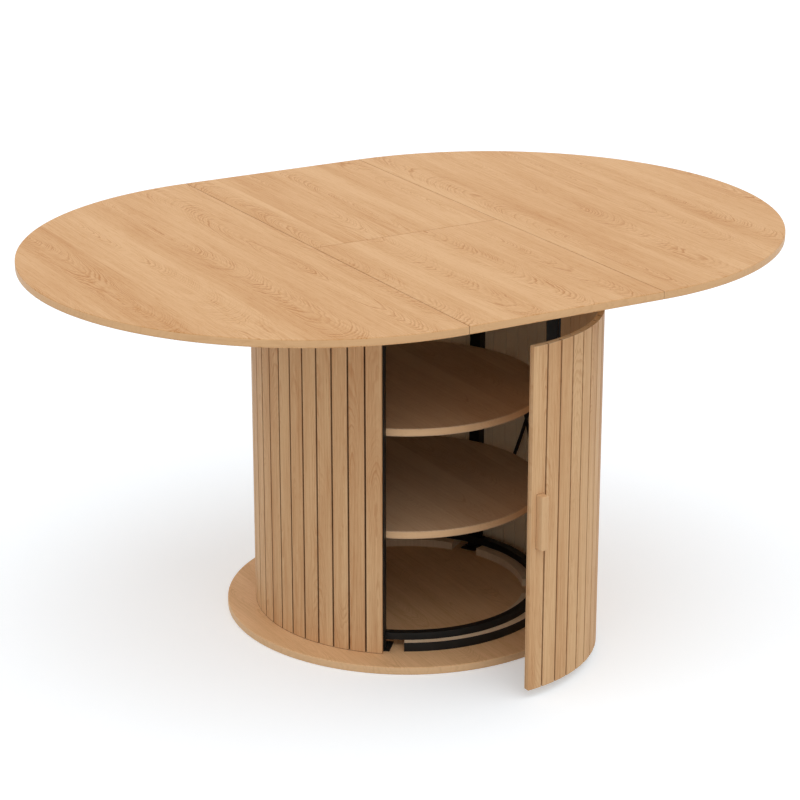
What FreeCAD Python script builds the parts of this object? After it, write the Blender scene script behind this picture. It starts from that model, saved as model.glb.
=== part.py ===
"""Round extending table on a slatted drum cabinet with a curved door.

The origin is the middle of the base on the floor, +Z is up, X is the way the top extends and the door
faces -Y. Angles round the drum are in degrees from -Y, growing towards +X. Lengths are in millimetres.
"""

import FreeCAD
import Part
import math
import os

# ---- driving dimensions ---------------------------------------------------------------------------

TABLE_HEIGHT = 750.0  # floor to top surface
TOP_RADIUS = 550.0  # each half of the top is half a round
TOP_THICKNESS = 15.0
LEAF_WIDTH = 400.0  # extension leaf, measured along X
SEAM_GAP = 0.8  # between neighbouring boards of the top
EDGE_ARRIS = 0.8  # small chamfer round every board

DRUM_RADIUS = 300.0  # outside of the slats
SLAT_COUNT = 57  # slats in a full turn, door and walls together
DOOR_SLATS = 15
PANEL_SLATS = (10, 11, 11, 10)  # the four fixed wall panels, from the hinge round to the latch
SLAT_THICKNESS = 9.0
SLAT_GAP = 3.0
SLAT_ARRIS = 0.6
BACKING_THICKNESS = 3.0  # bent board that carries the slats
KERF_WIDTH = 1.2  # saw cuts that let the board bend
KERF_DEPTH = 1.0
LATCH_ANGLE = -38.9  # seam between the left wall panel and the closed door

BASE_MARGIN = 55.0  # base beyond the drum
BASE_THICKNESS = 15.0
PLINTH_HEIGHT = 15.0  # curved blocks on the base
PLINTH_WIDTH = 58.0  # from the wall inwards
PLINTH_SETBACK_ANGLE = 7.2  # from a post's middle to the next block's end
DOORWAY_SETBACK_ANGLE = 9.8  # the same beside the doorway
THRESHOLD_SETBACK = 2.8  # black strip in the doorway, from the wall's inner face
THRESHOLD_STRIP = 1.2
THRESHOLD_RISE = 2.5  # strip's top edge above the block, as a stop for the door

POST_WIDTH = 23.0
POST_DEPTH = 21.5
POST_WALL = 1.5
POST_PLATE_THICKNESS = 2.0
POST_PLATE_DEPTH = 43.0
POST_PLATE_WIDTH = 32.0
JAMB_PLATE_WIDTH = 43.0  # for the posts beside the doorway
RING_WIDTH = 15.0
RING_HEIGHT = 14.0
BRACE_WIDTH = 6.0
BRACE_THICKNESS = 3.0
BRACE_SETBACK = 3.0  # from the posts' inner faces
BRACE_FOOT_HEIGHT = 30.0  # bars' lower ends above the base
BRACE_CROSSING_HEIGHT = 330.0  # above the floor
BRACE_TAB_WIDTH = 14.0  # bent end of a bar, screwed under the upper shelf

SHELF_THICKNESS = 15.0
SHELF_SIDE_GAP = 3.5  # between a shelf and the posts
MIDDLE_SHELF_HEIGHT = 234.0  # undersides, above the floor
UPPER_SHELF_HEIGHT = 437.0
BRACKET_WIDTH = 18.0
BRACKET_LEG = 22.0
BRACKET_THICKNESS = 2.0
SHELF_SCREW_RADIUS = 2.0
SHELF_SCREW_HEAD_RADIUS = 3.8
SHELF_SCREW_HEAD = 2.2
SHELF_SCREW_GRIP = 11.0  # length inside the shelf

DOOR_BOTTOM_GAP = 2.0
DOOR_TOP_GAP = 1.0
DOOR_OPEN_ANGLE = 40.6  # the door stands ajar by this much
HINGE_COUNT = 3
HINGE_LENGTH = 64.0
HINGE_INSET = 95.0  # hinge middle from the door's end
HINGE_STANDOFF = 5.0  # pin axis outside the slats
HINGE_LEAF_CLEARANCE = 0.4  # between the two leaves
HINGE_LEAF_SETBACK = 1.0  # leaf's edge from the wall's inner face
KNUCKLE_RADIUS = 4.5
KNUCKLE_GAP = 0.3
KNUCKLE_RELIEF = 0.4
PIN_RADIUS = 2.0
PIN_HEAD_RADIUS = 3.2
PIN_HEAD = 1.5
RUNNING_CLEARANCE = 0.06

HANDLE_WIDTH = 15.5
HANDLE_LENGTH = 104.0
HANDLE_DEPTH = 17.0
HANDLE_ROUNDING = 2.5
HANDLE_HEIGHT = 345.0  # middle of the handle above the floor
HANDLE_INSET_ANGLE = 3.9  # from the latch seam
HANDLE_SCREW_RADIUS = 2.0
HANDLE_SCREW_HEAD_RADIUS = 4.0
HANDLE_SCREW_HEAD = 2.0
HANDLE_SCREW_SPACING = 64.0
HANDLE_SCREW_GRIP = 8.0

CATCH_ANGLE = -31.0
CATCH_WIDTH = 40.0
CATCH_HEIGHT = 14.0
CATCH_DEPTH = 17.0
CATCH_GAP = 1.0
CATCH_SLOT = 2.0  # width and depth
CATCH_PLATE_THICKNESS = 1.0
CATCH_PLATE_HALF_ANGLE = 2.8
CATCH_PLATE_HEIGHT = 16.0

DRUM_CAP_THICKNESS = 15.0
DRUM_CAP_SETBACK = 1.0
TRACK_LENGTH = 460.0
TRACK_SPACING = 340.0  # between the two tracks' middles
TRACK_HEIGHT = 30.0
TRACK_WIDTH = 32.0
TRACK_WEB = 3.0
TRACK_FLANGE = 3.7
SLIDE_CLEARANCE = 0.3
SLIDE_LENGTH = 440.0
SLIDE_REACH = 380.0  # slide's outer end from the straight edge of its half
SLIDE_WALL = 2.0
GLIDE_THICKNESS = 15.0
BEARER_WIDTH = 50.0
BEARER_LENGTH = 400.0
BEARER_SPACING = 140.0
TRACK_SCREW_RADIUS = 2.5
TRACK_SCREW_HEAD_RADIUS = 5.0
TRACK_SCREW_HEAD = 2.4
TRACK_SCREW_GRIP = 11.0
TRACK_SCREW_SPACING = 180.0

LEAF_HINGE_RADIUS = 5.0
LEAF_HINGE_DEPTH = 15.0
LEAF_HINGE_SLOT = 2.4
LEAF_HINGE_SLOT_REACH = 9.0
LEAF_HINGE_SPACING = 240.0

FIT_GAP = 0.3  # between curved faces that meet
OVERCUT = 1.0  # how far a cutting shape stands out of what it cuts
TOUCH = 0.001  # faces and edges closer than this count as level

# ---- sizes that follow ----------------------------------------------------------------------------

SLAT_ANGLE = 360.0 / SLAT_COUNT
HINGE_ANGLE = LATCH_ANGLE + DOOR_SLATS * SLAT_ANGLE
BACKING_OUTER = DRUM_RADIUS - SLAT_THICKNESS
WALL_INNER = BACKING_OUTER - BACKING_THICKNESS
HINGE_RADIUS = DRUM_RADIUS + HINGE_STANDOFF
DRUM_CAP_RADIUS = DRUM_RADIUS - DRUM_CAP_SETBACK
BASE_RADIUS = DRUM_RADIUS + BASE_MARGIN
PLINTH_INNER_RADIUS = WALL_INNER - PLINTH_WIDTH
THRESHOLD_RADIUS = WALL_INNER - THRESHOLD_SETBACK

TOP_UNDERSIDE = TABLE_HEIGHT - TOP_THICKNESS
GLIDE_BOTTOM = TOP_UNDERSIDE - GLIDE_THICKNESS
CAP_TOP = GLIDE_BOTTOM - TRACK_HEIGHT
WALL_TOP = CAP_TOP - DRUM_CAP_THICKNESS

POST_OUTER = WALL_INNER - 2 * FIT_GAP
POST_INNER = POST_OUTER - POST_DEPTH
POST_PLATE_INNER_RADIUS = POST_OUTER - POST_PLATE_DEPTH
BRACKET_SCREW_RADIUS = (POST_INNER + POST_PLATE_INNER_RADIUS) / 2  # screws' distance from the axis
RING_OUTER = POST_INNER - FIT_GAP
SHELF_RADIUS = POST_INNER - SHELF_SIDE_GAP
PLINTH_TOP = BASE_THICKNESS + PLINTH_HEIGHT
TOP_RING_BOTTOM = WALL_TOP - POST_PLATE_THICKNESS - RING_HEIGHT
BRACE_INNER = POST_INNER + BRACE_SETBACK
BRACE_OUTER = BRACE_INNER + BRACE_THICKNESS
BRACE_FOOT = BASE_THICKNESS + BRACE_FOOT_HEIGHT

POST_HALF_ANGLE = math.degrees(math.asin(POST_WIDTH / 2 / POST_OUTER))
PANEL_ENDS = [HINGE_ANGLE + SLAT_ANGLE * sum(PANEL_SLATS[:i]) for i in range(len(PANEL_SLATS) + 1)]
POST_ANGLES = [HINGE_ANGLE + POST_HALF_ANGLE] + PANEL_ENDS[1:-1] + [PANEL_ENDS[-1] - POST_HALF_ANGLE]
BAYS = list(zip(POST_ANGLES, POST_ANGLES[1:]))  # fixed bays, from the hinge round to the latch

BAY_NAMES = ("right", "back_right", "back_left", "left")
POST_NAMES = ("hinge", "back_right", "back", "back_left", "latch")

DOOR_BOTTOM = BASE_THICKNESS + DOOR_BOTTOM_GAP
DOOR_TOP = WALL_TOP - DOOR_TOP_GAP
HINGE_HEIGHTS = [
    DOOR_BOTTOM + HINGE_INSET + i * (DOOR_TOP - DOOR_BOTTOM - 2 * HINGE_INSET) / (HINGE_COUNT - 1)
    for i in range(HINGE_COUNT)
]

HANDLE_ANGLE = LATCH_ANGLE + HANDLE_INSET_ANGLE
HANDLE_FRONT = DRUM_RADIUS + HANDLE_DEPTH
HANDLE_SCREW_HEIGHTS = [HANDLE_HEIGHT + s * HANDLE_SCREW_SPACING / 2 for s in (-1, 1)]

HALF_EDGE = LEAF_WIDTH / 2 + SEAM_GAP / 2
TRACK_GROOVE = (TRACK_WIDTH - TRACK_WEB) / 2
SLIDE_BOTTOM = CAP_TOP + TRACK_FLANGE + SLIDE_CLEARANCE
SLIDE_TOP = GLIDE_BOTTOM - TRACK_FLANGE - SLIDE_CLEARANCE
TRACK_SCREW_PLACES = [
    (x, side * TRACK_SPACING / 2 + across * (TRACK_WEB + TRACK_GROOVE) / 2)
    for x in (-TRACK_SCREW_SPACING, 0, TRACK_SCREW_SPACING)
    for side in (-1, 1)
    for across in (-1, 1)
]

UP = FreeCAD.Vector(0, 0, 1)
CENTRE = FreeCAD.Vector(0, 0, 0)


# ---- helpers --------------------------------------------------------------------------------------


def turn(shape, angle):
    """A copy turned round the drum's axis."""
    copy = shape.copy()
    copy.rotate(CENTRE, UP, angle)
    return copy


def box(x, y, z):
    """A box between pairs of limits."""
    return Part.makeBox(x[1] - x[0], y[1] - y[0], z[1] - z[0], FreeCAD.Vector(x[0], y[0], z[0]))


def rod(radius, x, y, bottom, top):
    """An upright cylinder."""
    return Part.makeCylinder(radius, top - bottom, FreeCAD.Vector(x, y, bottom), UP)


def flat_face(points):
    """A face inside a closed outline of points."""
    corners = [FreeCAD.Vector(*p) for p in points]
    return Part.Face(Part.makePolygon(corners + corners[:1]))


def sector(inner, outer, bottom, top, start, end):
    """A piece of a ring: its upright section carried round the axis from start to end."""
    section = flat_face([(0, -outer, bottom), (0, -inner, bottom), (0, -inner, top), (0, -outer, top)])
    return turn(section.revolve(CENTRE, UP, end - start), start)


def full_ring(inner, outer, bottom, top):
    """A whole ring."""
    return rod(outer, 0, 0, bottom, top).cut(rod(inner, 0, 0, bottom - OVERCUT, top + OVERCUT))


def disc(radius, bottom, thickness):
    """A round board with an arris on both edges."""
    board = rod(radius, 0, 0, bottom, bottom + thickness)
    return board.makeChamfer(EDGE_ARRIS, rim_edges(board))


def rim_edges(board):
    """The edges that lie level with a board's top or bottom face."""
    z_min = board.BoundBox.ZMin
    z_max = board.BoundBox.ZMax
    level = []
    for edge in board.Edges:
        b = edge.BoundBox
        if b.ZLength < TOUCH and (abs(b.ZMin - z_min) < TOUCH or abs(b.ZMax - z_max) < TOUCH):
            level.append(edge)
    return level


def group(solids):
    """Separate solids kept as one node."""
    return Part.makeCompound(solids)


# ---- slatted walls and door -----------------------------------------------------------------------


def slat(middle_angle, bottom, top):
    """One slat: flat behind, curved in front, with parallel gaps and an arris beside each gap."""
    half = math.radians(SLAT_ANGLE / 2)
    inset = SLAT_GAP / 2

    def side_point(along, side):
        x = along * math.sin(half) - inset * math.cos(half)
        y = along * math.cos(half) + inset * math.sin(half)
        return FreeCAD.Vector(side * x, -y, bottom)

    back = (BACKING_OUTER - inset * math.sin(half)) / math.cos(half)
    front = math.sqrt(DRUM_RADIUS**2 - inset**2)
    arc_half = half - math.asin(inset / DRUM_RADIUS) - SLAT_ARRIS / DRUM_RADIUS
    arc_ends = [
        FreeCAD.Vector(s * DRUM_RADIUS * math.sin(arc_half), -DRUM_RADIUS * math.cos(arc_half), bottom)
        for s in (-1, 1)
    ]
    crown = FreeCAD.Vector(0, -DRUM_RADIUS, bottom)
    outline = [
        Part.makePolygon([arc_ends[0], side_point(front - SLAT_ARRIS, -1), side_point(back, -1)]),
        Part.makePolygon([side_point(back, -1), side_point(back, 1)]),
        Part.makePolygon([side_point(back, 1), side_point(front - SLAT_ARRIS, 1), arc_ends[1]]),
        Part.Wire([Part.Arc(arc_ends[1], crown, arc_ends[0]).toShape()]),
    ]
    edges = [edge for wire in outline for edge in wire.Edges]
    face = Part.Face(Part.Wire(Part.__sortEdges__(edges)))
    return turn(face.extrude(FreeCAD.Vector(0, 0, top - bottom)), middle_angle)


def slats(start, count, bottom, top):
    """Neighbouring slats from a seam angle onwards."""
    return [slat(start + (i + 0.5) * SLAT_ANGLE, bottom, top) for i in range(count)]


def backing(start, count, bottom, top):
    """The bent board behind the slats, with a saw cut inside at each seam."""
    margin = math.degrees(math.asin(SLAT_GAP / 2 / BACKING_OUTER))
    board = sector(
        WALL_INNER, BACKING_OUTER, bottom, top, start + margin, start + count * SLAT_ANGLE - margin
    )
    kerf = box(
        (-KERF_WIDTH / 2, KERF_WIDTH / 2),
        (-WALL_INNER - KERF_DEPTH, -WALL_INNER + KERF_DEPTH),
        (bottom - OVERCUT, top + OVERCUT),
    )
    return board.cut([turn(kerf, start + i * SLAT_ANGLE) for i in range(1, count)])


# ---- base, plinth and steel frame -----------------------------------------------------------------


def plinth_block(start_post, end_post, outer, setback):
    """A curved block between two posts."""
    return sector(
        PLINTH_INNER_RADIUS,
        outer,
        BASE_THICKNESS,
        PLINTH_TOP,
        start_post + setback,
        end_post - setback,
    )


def post(angle):
    """A square tube standing on its foot plate and ending under its head plate."""
    bottom = BASE_THICKNESS + POST_PLATE_THICKNESS
    top = WALL_TOP - POST_PLATE_THICKNESS
    half = POST_WIDTH / 2
    tube = box((-half, half), (-POST_OUTER, -POST_INNER), (bottom, top))
    bore = box(
        (-half + POST_WALL, half - POST_WALL),
        (-POST_OUTER + POST_WALL, -POST_INNER - POST_WALL),
        (bottom - OVERCUT, top + OVERCUT),
    )
    return turn(tube.cut(bore), angle)


def post_plates(bottom):
    """One thin plate for each post, cut round where it meets the wall."""
    inside_wall = rod(POST_OUTER, 0, 0, bottom, bottom + POST_PLATE_THICKNESS)
    plates = []
    for angle in POST_ANGLES:
        at_doorway = angle in (POST_ANGLES[0], POST_ANGLES[-1])
        half = (JAMB_PLATE_WIDTH if at_doorway else POST_PLATE_WIDTH) / 2
        plate = box(
            (-half, half), (-POST_OUTER, -POST_PLATE_INNER_RADIUS), (bottom, bottom + POST_PLATE_THICKNESS)
        )
        plates.append(turn(plate, angle).common(inside_wall))
    return plates


def brace_layout(bay):
    """Half the angle of the bars' shell, and the bars' reach from its middle, slope and heads' place."""
    half_bay = (bay[1] - bay[0]) / 2 - math.degrees(math.asin((POST_WIDTH / 2 + FIT_GAP) / BRACE_INNER))
    reach = BRACE_OUTER * math.sin(math.radians(half_bay))
    slope = (BRACE_CROSSING_HEIGHT - BRACE_FOOT) / reach
    head = (UPPER_SHELF_HEIGHT - BRACE_CROSSING_HEIGHT) / slope
    return half_bay, reach, slope, head


def brace_tab_angles(bay):
    """Where a bay's two bars meet the upper shelf."""
    head = brace_layout(bay)[3]
    middle = (bay[0] + bay[1]) / 2
    offset = math.degrees(math.asin(head / BRACE_OUTER))
    return [middle - offset, middle + offset]


def cross_brace(bay):
    """Two flat bars that rise from neighbouring posts, cross, and end in tabs under the upper shelf."""
    half_bay, reach, slope, head = brace_layout(bay)
    low = BRACE_FOOT - BRACE_WIDTH
    shell = sector(BRACE_INNER, BRACE_OUTER, low, UPPER_SHELF_HEIGHT, -half_bay, half_bay)
    half_rise = BRACE_WIDTH / 2 * math.sqrt(1 + slope**2)
    front = -BRACE_OUTER - OVERCUT
    over = head + OVERCUT / slope
    bars = []
    for side in (-1, 1):
        bar_face = flat_face(
            [
                (-side * reach, front, BRACE_FOOT - half_rise),
                (side * over, front, UPPER_SHELF_HEIGHT + OVERCUT - half_rise),
                (side * over, front, UPPER_SHELF_HEIGHT + OVERCUT + half_rise),
                (-side * reach, front, BRACE_FOOT + half_rise),
            ]
        )
        bars.append(shell.common(bar_face.extrude(FreeCAD.Vector(0, BRACE_OUTER, 0))))
    middle = (bay[0] + bay[1]) / 2
    tabs = [turn(brace_tab(), angle - middle) for angle in brace_tab_angles(bay)]
    return turn(bars[0].fuse(bars[1:] + tabs).removeSplitter(), middle)


def brace_tab():
    """The bent end of a bar, under the upper shelf's edge, with a screw hole."""
    half = BRACE_TAB_WIDTH / 2
    z = (UPPER_SHELF_HEIGHT - BRACKET_THICKNESS, UPPER_SHELF_HEIGHT)
    tab = box((-half, half), (-BRACE_OUTER, -POST_PLATE_INNER_RADIUS), z)
    rim = rod(BRACE_OUTER, 0, 0, *z)
    hole = rod(SHELF_SCREW_RADIUS, 0, -BRACKET_SCREW_RADIUS, z[0] - OVERCUT, z[1] + OVERCUT)
    return tab.common(rim).cut(hole)


# ---- shelves --------------------------------------------------------------------------------------


def shelf(bottom, screw_angles):
    """A round shelf with a blind pilot hole for each screw."""
    board = disc(SHELF_RADIUS, bottom, SHELF_THICKNESS)
    pilot = rod(SHELF_SCREW_RADIUS, 0, -BRACKET_SCREW_RADIUS, bottom - OVERCUT, bottom + SHELF_SCREW_GRIP)
    return board.cut([turn(pilot, angle) for angle in screw_angles])


def shelf_bracket(shelf_bottom, angle):
    """An angle clip: its leg on the post's inner face, its tongue under the shelf."""
    half = BRACKET_WIDTH / 2
    leg = box(
        (-half, half),
        (-POST_INNER, -POST_INNER + BRACKET_THICKNESS),
        (shelf_bottom - BRACKET_LEG, shelf_bottom),
    )
    tongue = box(
        (-half, half),
        (-POST_INNER, -POST_PLATE_INNER_RADIUS),
        (shelf_bottom - BRACKET_THICKNESS, shelf_bottom),
    )
    hole = rod(SHELF_SCREW_RADIUS, 0, -BRACKET_SCREW_RADIUS, leg.BoundBox.ZMin, shelf_bottom + OVERCUT)
    return turn(leg.fuse(tongue).removeSplitter().cut(hole), angle)


def shelf_screw(shelf_bottom, angle):
    """A pan-head screw up through a bracket or a bar's tab into the shelf."""
    head_top = shelf_bottom - BRACKET_THICKNESS
    place = (0, -BRACKET_SCREW_RADIUS)
    head = rod(SHELF_SCREW_HEAD_RADIUS, *place, head_top - SHELF_SCREW_HEAD, head_top)
    shank = rod(SHELF_SCREW_RADIUS, *place, head_top - SHELF_SCREW_HEAD / 2, shelf_bottom + SHELF_SCREW_GRIP)
    return turn(head.fuse(shank), angle)


# ---- door -----------------------------------------------------------------------------------------


def swing(shape):
    """A copy turned from the closed door's place to where the door stands."""
    copy = shape.copy()
    x = HINGE_RADIUS * math.sin(math.radians(HINGE_ANGLE))
    y = -HINGE_RADIUS * math.cos(math.radians(HINGE_ANGLE))
    copy.rotate(FreeCAD.Vector(x, y, 0), UP, DOOR_OPEN_ANGLE)
    return copy


def hinge_leaf(side, middle):
    """Half of a butt hinge: a plate on the edge of its panel, and its share of the knuckles.

    The fixed half, side 1, has the two outer knuckles and the door's half, side -1, the middle one.
    """
    third = HINGE_LENGTH / 3
    bottom = middle - HINGE_LENGTH / 2
    spans = [(bottom + i * third, bottom + (i + 1) * third) for i in range(3)]
    own = spans[0::2] if side > 0 else spans[1:2]
    other = spans[1:2] if side > 0 else spans[0::2]
    x = sorted((side * HINGE_LEAF_CLEARANCE / 2, side * SLAT_GAP / 2))
    plate = box(x, (-HINGE_RADIUS, -WALL_INNER - HINGE_LEAF_SETBACK), (bottom, bottom + HINGE_LENGTH))
    relief = [
        rod(KNUCKLE_RADIUS + KNUCKLE_RELIEF, 0, -HINGE_RADIUS, low - KNUCKLE_GAP, high + KNUCKLE_GAP)
        for low, high in other
    ]
    leaf = plate.cut(relief)
    for low, high in own:
        low_gap = KNUCKLE_GAP / 2 if low > bottom else 0
        high_gap = KNUCKLE_GAP / 2 if high < spans[-1][1] else 0
        leaf = leaf.fuse(rod(KNUCKLE_RADIUS, 0, -HINGE_RADIUS, low + low_gap, high - high_gap))
    bore_span = (bottom - OVERCUT, bottom + HINGE_LENGTH + OVERCUT)
    bore = rod(PIN_RADIUS + RUNNING_CLEARANCE, 0, -HINGE_RADIUS, *bore_span)
    return turn(leaf.cut(bore), HINGE_ANGLE)


def hinge_pin(middle):
    """A pin with a flat head on each end of its knuckles."""
    bottom = middle - HINGE_LENGTH / 2
    top = middle + HINGE_LENGTH / 2
    pin = rod(PIN_RADIUS, 0, -HINGE_RADIUS, bottom, top)
    for low in (bottom - PIN_HEAD, top):
        pin = pin.fuse(rod(PIN_HEAD_RADIUS, 0, -HINGE_RADIUS, low, low + PIN_HEAD))
    return turn(pin, HINGE_ANGLE)


def handle_screw_hole(start, end, height, radius):
    """A level cylinder along the handle screw's axis, between two distances from the drum's axis."""
    return Part.makeCylinder(
        radius, end - start, FreeCAD.Vector(0, -start, height), FreeCAD.Vector(0, -1, 0)
    )


def door_handle():
    """An upright bar with rounded edges, hollowed behind to sit on the slats."""
    half_width = HANDLE_WIDTH / 2
    half_length = HANDLE_LENGTH / 2
    z = (HANDLE_HEIGHT - half_length, HANDLE_HEIGHT + half_length)
    bar = box((-half_width, half_width), (-HANDLE_FRONT, -DRUM_RADIUS + SLAT_ARRIS), z)
    outer_edges = []
    for edge in bar.Edges:
        b = edge.BoundBox
        if b.YMin < -HANDLE_FRONT + TOUCH or b.YLength > SLAT_ARRIS:
            outer_edges.append(edge)
    bar = bar.makeFillet(HANDLE_ROUNDING, outer_edges)
    bar = bar.cut(rod(DRUM_RADIUS + FIT_GAP / 3, 0, 0, z[0] - OVERCUT, z[1] + OVERCUT))
    grip = DRUM_RADIUS + HANDLE_SCREW_GRIP
    holes = [handle_screw_hole(WALL_INNER, grip, h, HANDLE_SCREW_RADIUS) for h in HANDLE_SCREW_HEIGHTS]
    return turn(bar.cut(holes), HANDLE_ANGLE)


def handle_screws():
    """Pan-head screws from inside the door into the handle."""
    screws = []
    for height in HANDLE_SCREW_HEIGHTS:
        head = handle_screw_hole(
            WALL_INNER - HANDLE_SCREW_HEAD, WALL_INNER, height, HANDLE_SCREW_HEAD_RADIUS
        )
        shank = handle_screw_hole(
            WALL_INNER - HANDLE_SCREW_HEAD / 2, DRUM_RADIUS + HANDLE_SCREW_GRIP, height, HANDLE_SCREW_RADIUS
        )
        screws.append(turn(head.fuse(shank), HANDLE_ANGLE))
    return screws


def drill_for_handle(shape):
    """The shape with the two handle screws' holes."""
    holes = [
        turn(handle_screw_hole(WALL_INNER - OVERCUT, HANDLE_FRONT, h, HANDLE_SCREW_RADIUS), HANDLE_ANGLE)
        for h in HANDLE_SCREW_HEIGHTS
    ]
    return shape.cut(holes)


def magnet_catch():
    """The magnet's housing under the drum's cap, with a slot across its front."""
    half = CATCH_WIDTH / 2
    front = WALL_INNER - CATCH_PLATE_THICKNESS - CATCH_GAP
    body = box((-half, half), (-front, -front + CATCH_DEPTH), (WALL_TOP - CATCH_HEIGHT, WALL_TOP))
    middle = WALL_TOP - CATCH_HEIGHT / 2
    slot_half = CATCH_SLOT / 2
    slot = box(
        (-half / 2, half / 2),
        (-front - OVERCUT, -front + CATCH_SLOT),
        (middle - slot_half, middle + slot_half),
    )
    return turn(body.cut(slot), CATCH_ANGLE)


# ---- extending top --------------------------------------------------------------------------------


def chamfered(board):
    """A flat board with an arris round its top and bottom."""
    return board.makeChamfer(EDGE_ARRIS, rim_edges(board))


def half_top(side):
    """Half a round with its straight edge against the leaf."""
    middle = side * LEAF_WIDTH / 2
    whole = rod(TOP_RADIUS, middle, 0, TOP_UNDERSIDE, TABLE_HEIGHT)
    reach = sorted((side * HALF_EDGE, side * (HALF_EDGE + 2 * TOP_RADIUS)))
    half = box(reach, (-2 * TOP_RADIUS, 2 * TOP_RADIUS), (TOP_UNDERSIDE, TABLE_HEIGHT))
    return chamfered(whole.common(half))


def leaf_board(side):
    """One of the leaf's two boards, with a bore in its edge for each concealed hinge."""
    half = LEAF_WIDTH / 2 - SEAM_GAP / 2
    y = sorted((side * SEAM_GAP / 2, side * TOP_RADIUS))
    board = chamfered(box((-half, half), y, (TOP_UNDERSIDE, TABLE_HEIGHT)))
    return board.cut([leaf_barrel(side, s, 0) for s in (-1, 1)])


def leaf_barrel(side, end, slot):
    """Half of a concealed barrel hinge, sunk in a board's edge, with a slot for its links."""
    x = end * LEAF_HINGE_SPACING / 2
    middle = (TOP_UNDERSIDE + TABLE_HEIGHT) / 2
    start = FreeCAD.Vector(x, side * SEAM_GAP / 2, middle)
    barrel = Part.makeCylinder(LEAF_HINGE_RADIUS, LEAF_HINGE_DEPTH, start, FreeCAD.Vector(0, side, 0))
    if slot:
        y = sorted((0, side * (SEAM_GAP / 2 + LEAF_HINGE_SLOT_REACH)))
        z = (middle - LEAF_HINGE_RADIUS - OVERCUT, middle + LEAF_HINGE_RADIUS + OVERCUT)
        barrel = barrel.cut(box((x - slot / 2, x + slot / 2), y, z))
    return barrel


def track(side):
    """A rail with a groove on both faces, drilled for the screws that hold it down."""
    y = side * TRACK_SPACING / 2
    half = TRACK_LENGTH / 2
    body = box((-half, half), (y - TRACK_WIDTH / 2, y + TRACK_WIDTH / 2), (CAP_TOP, GLIDE_BOTTOM))
    length = (-half - OVERCUT, half + OVERCUT)
    for face in (-1, 1):
        groove = sorted((y + face * TRACK_WEB / 2, y + face * (TRACK_WIDTH / 2 + OVERCUT)))
        body = body.cut(
            box(length, groove, (CAP_TOP + TRACK_FLANGE, GLIDE_BOTTOM - TRACK_FLANGE))
        )
    return body.cut([track_screw_shank(place) for place in TRACK_SCREW_PLACES])


def track_screw_shank(place):
    """The shank of a track screw, from its seat in the drum's cap up into the rail's lower flange."""
    return rod(TRACK_SCREW_RADIUS, *place, CAP_TOP - TRACK_SCREW_GRIP, CAP_TOP + TRACK_FLANGE)


def track_screw(place):
    """A screw up through the drum's cap into a rail, its head sunk under the cap."""
    seat = CAP_TOP - TRACK_SCREW_GRIP
    head = rod(TRACK_SCREW_HEAD_RADIUS, *place, seat - TRACK_SCREW_HEAD, seat)
    return head.fuse(track_screw_shank(place))


def drum_cap():
    """The round board on top of the drum, counterbored from below for the track screws."""
    board = disc(DRUM_CAP_RADIUS, WALL_TOP, DRUM_CAP_THICKNESS)
    seat = CAP_TOP - TRACK_SCREW_GRIP
    holes = [rod(TRACK_SCREW_HEAD_RADIUS, *place, WALL_TOP - OVERCUT, seat) for place in TRACK_SCREW_PLACES]
    holes += [track_screw_shank(place) for place in TRACK_SCREW_PLACES]
    return board.cut(holes)


def glide(side):
    """The wooden strip on a rail that the top slides over."""
    y = side * TRACK_SPACING / 2
    half = TRACK_LENGTH / 2
    return box((-half, half), (y - TRACK_WIDTH / 2, y + TRACK_WIDTH / 2), (GLIDE_BOTTOM, TOP_UNDERSIDE))


def slide_bar(end, side):
    """A channel that runs in a rail's groove: the left half's outside, the right half's inside."""
    face = side * (-end)
    near = side * TRACK_SPACING / 2 + face * (TRACK_WEB / 2 + SLIDE_CLEARANCE)
    far = side * TRACK_SPACING / 2 + face * (TRACK_WEB / 2 + TRACK_GROOVE - SLIDE_CLEARANCE)
    outer = end * (HALF_EDGE + SLIDE_REACH)
    inner = outer - end * SLIDE_LENGTH
    x = sorted((outer, inner))
    bar = box(x, sorted((near, far)), (SLIDE_BOTTOM, SLIDE_TOP))
    hollow = box(
        (x[0] - OVERCUT, x[1] + OVERCUT),
        sorted((near + face * SLIDE_WALL, far + face * OVERCUT)),
        (SLIDE_BOTTOM + SLIDE_WALL, SLIDE_TOP - SLIDE_WALL),
    )
    return bar.cut(hollow)


def bearer(end, index):
    """A cross batten that joins a half of the top to its two slides."""
    outer = end * (HALF_EDGE + SLIDE_REACH - index * BEARER_SPACING)
    x = sorted((outer, outer - end * BEARER_WIDTH))
    half = BEARER_LENGTH / 2
    return box(x, (-half, half), (SLIDE_TOP, TOP_UNDERSIDE))


# ---- all nodes ------------------------------------------------------------------------------------


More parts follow.
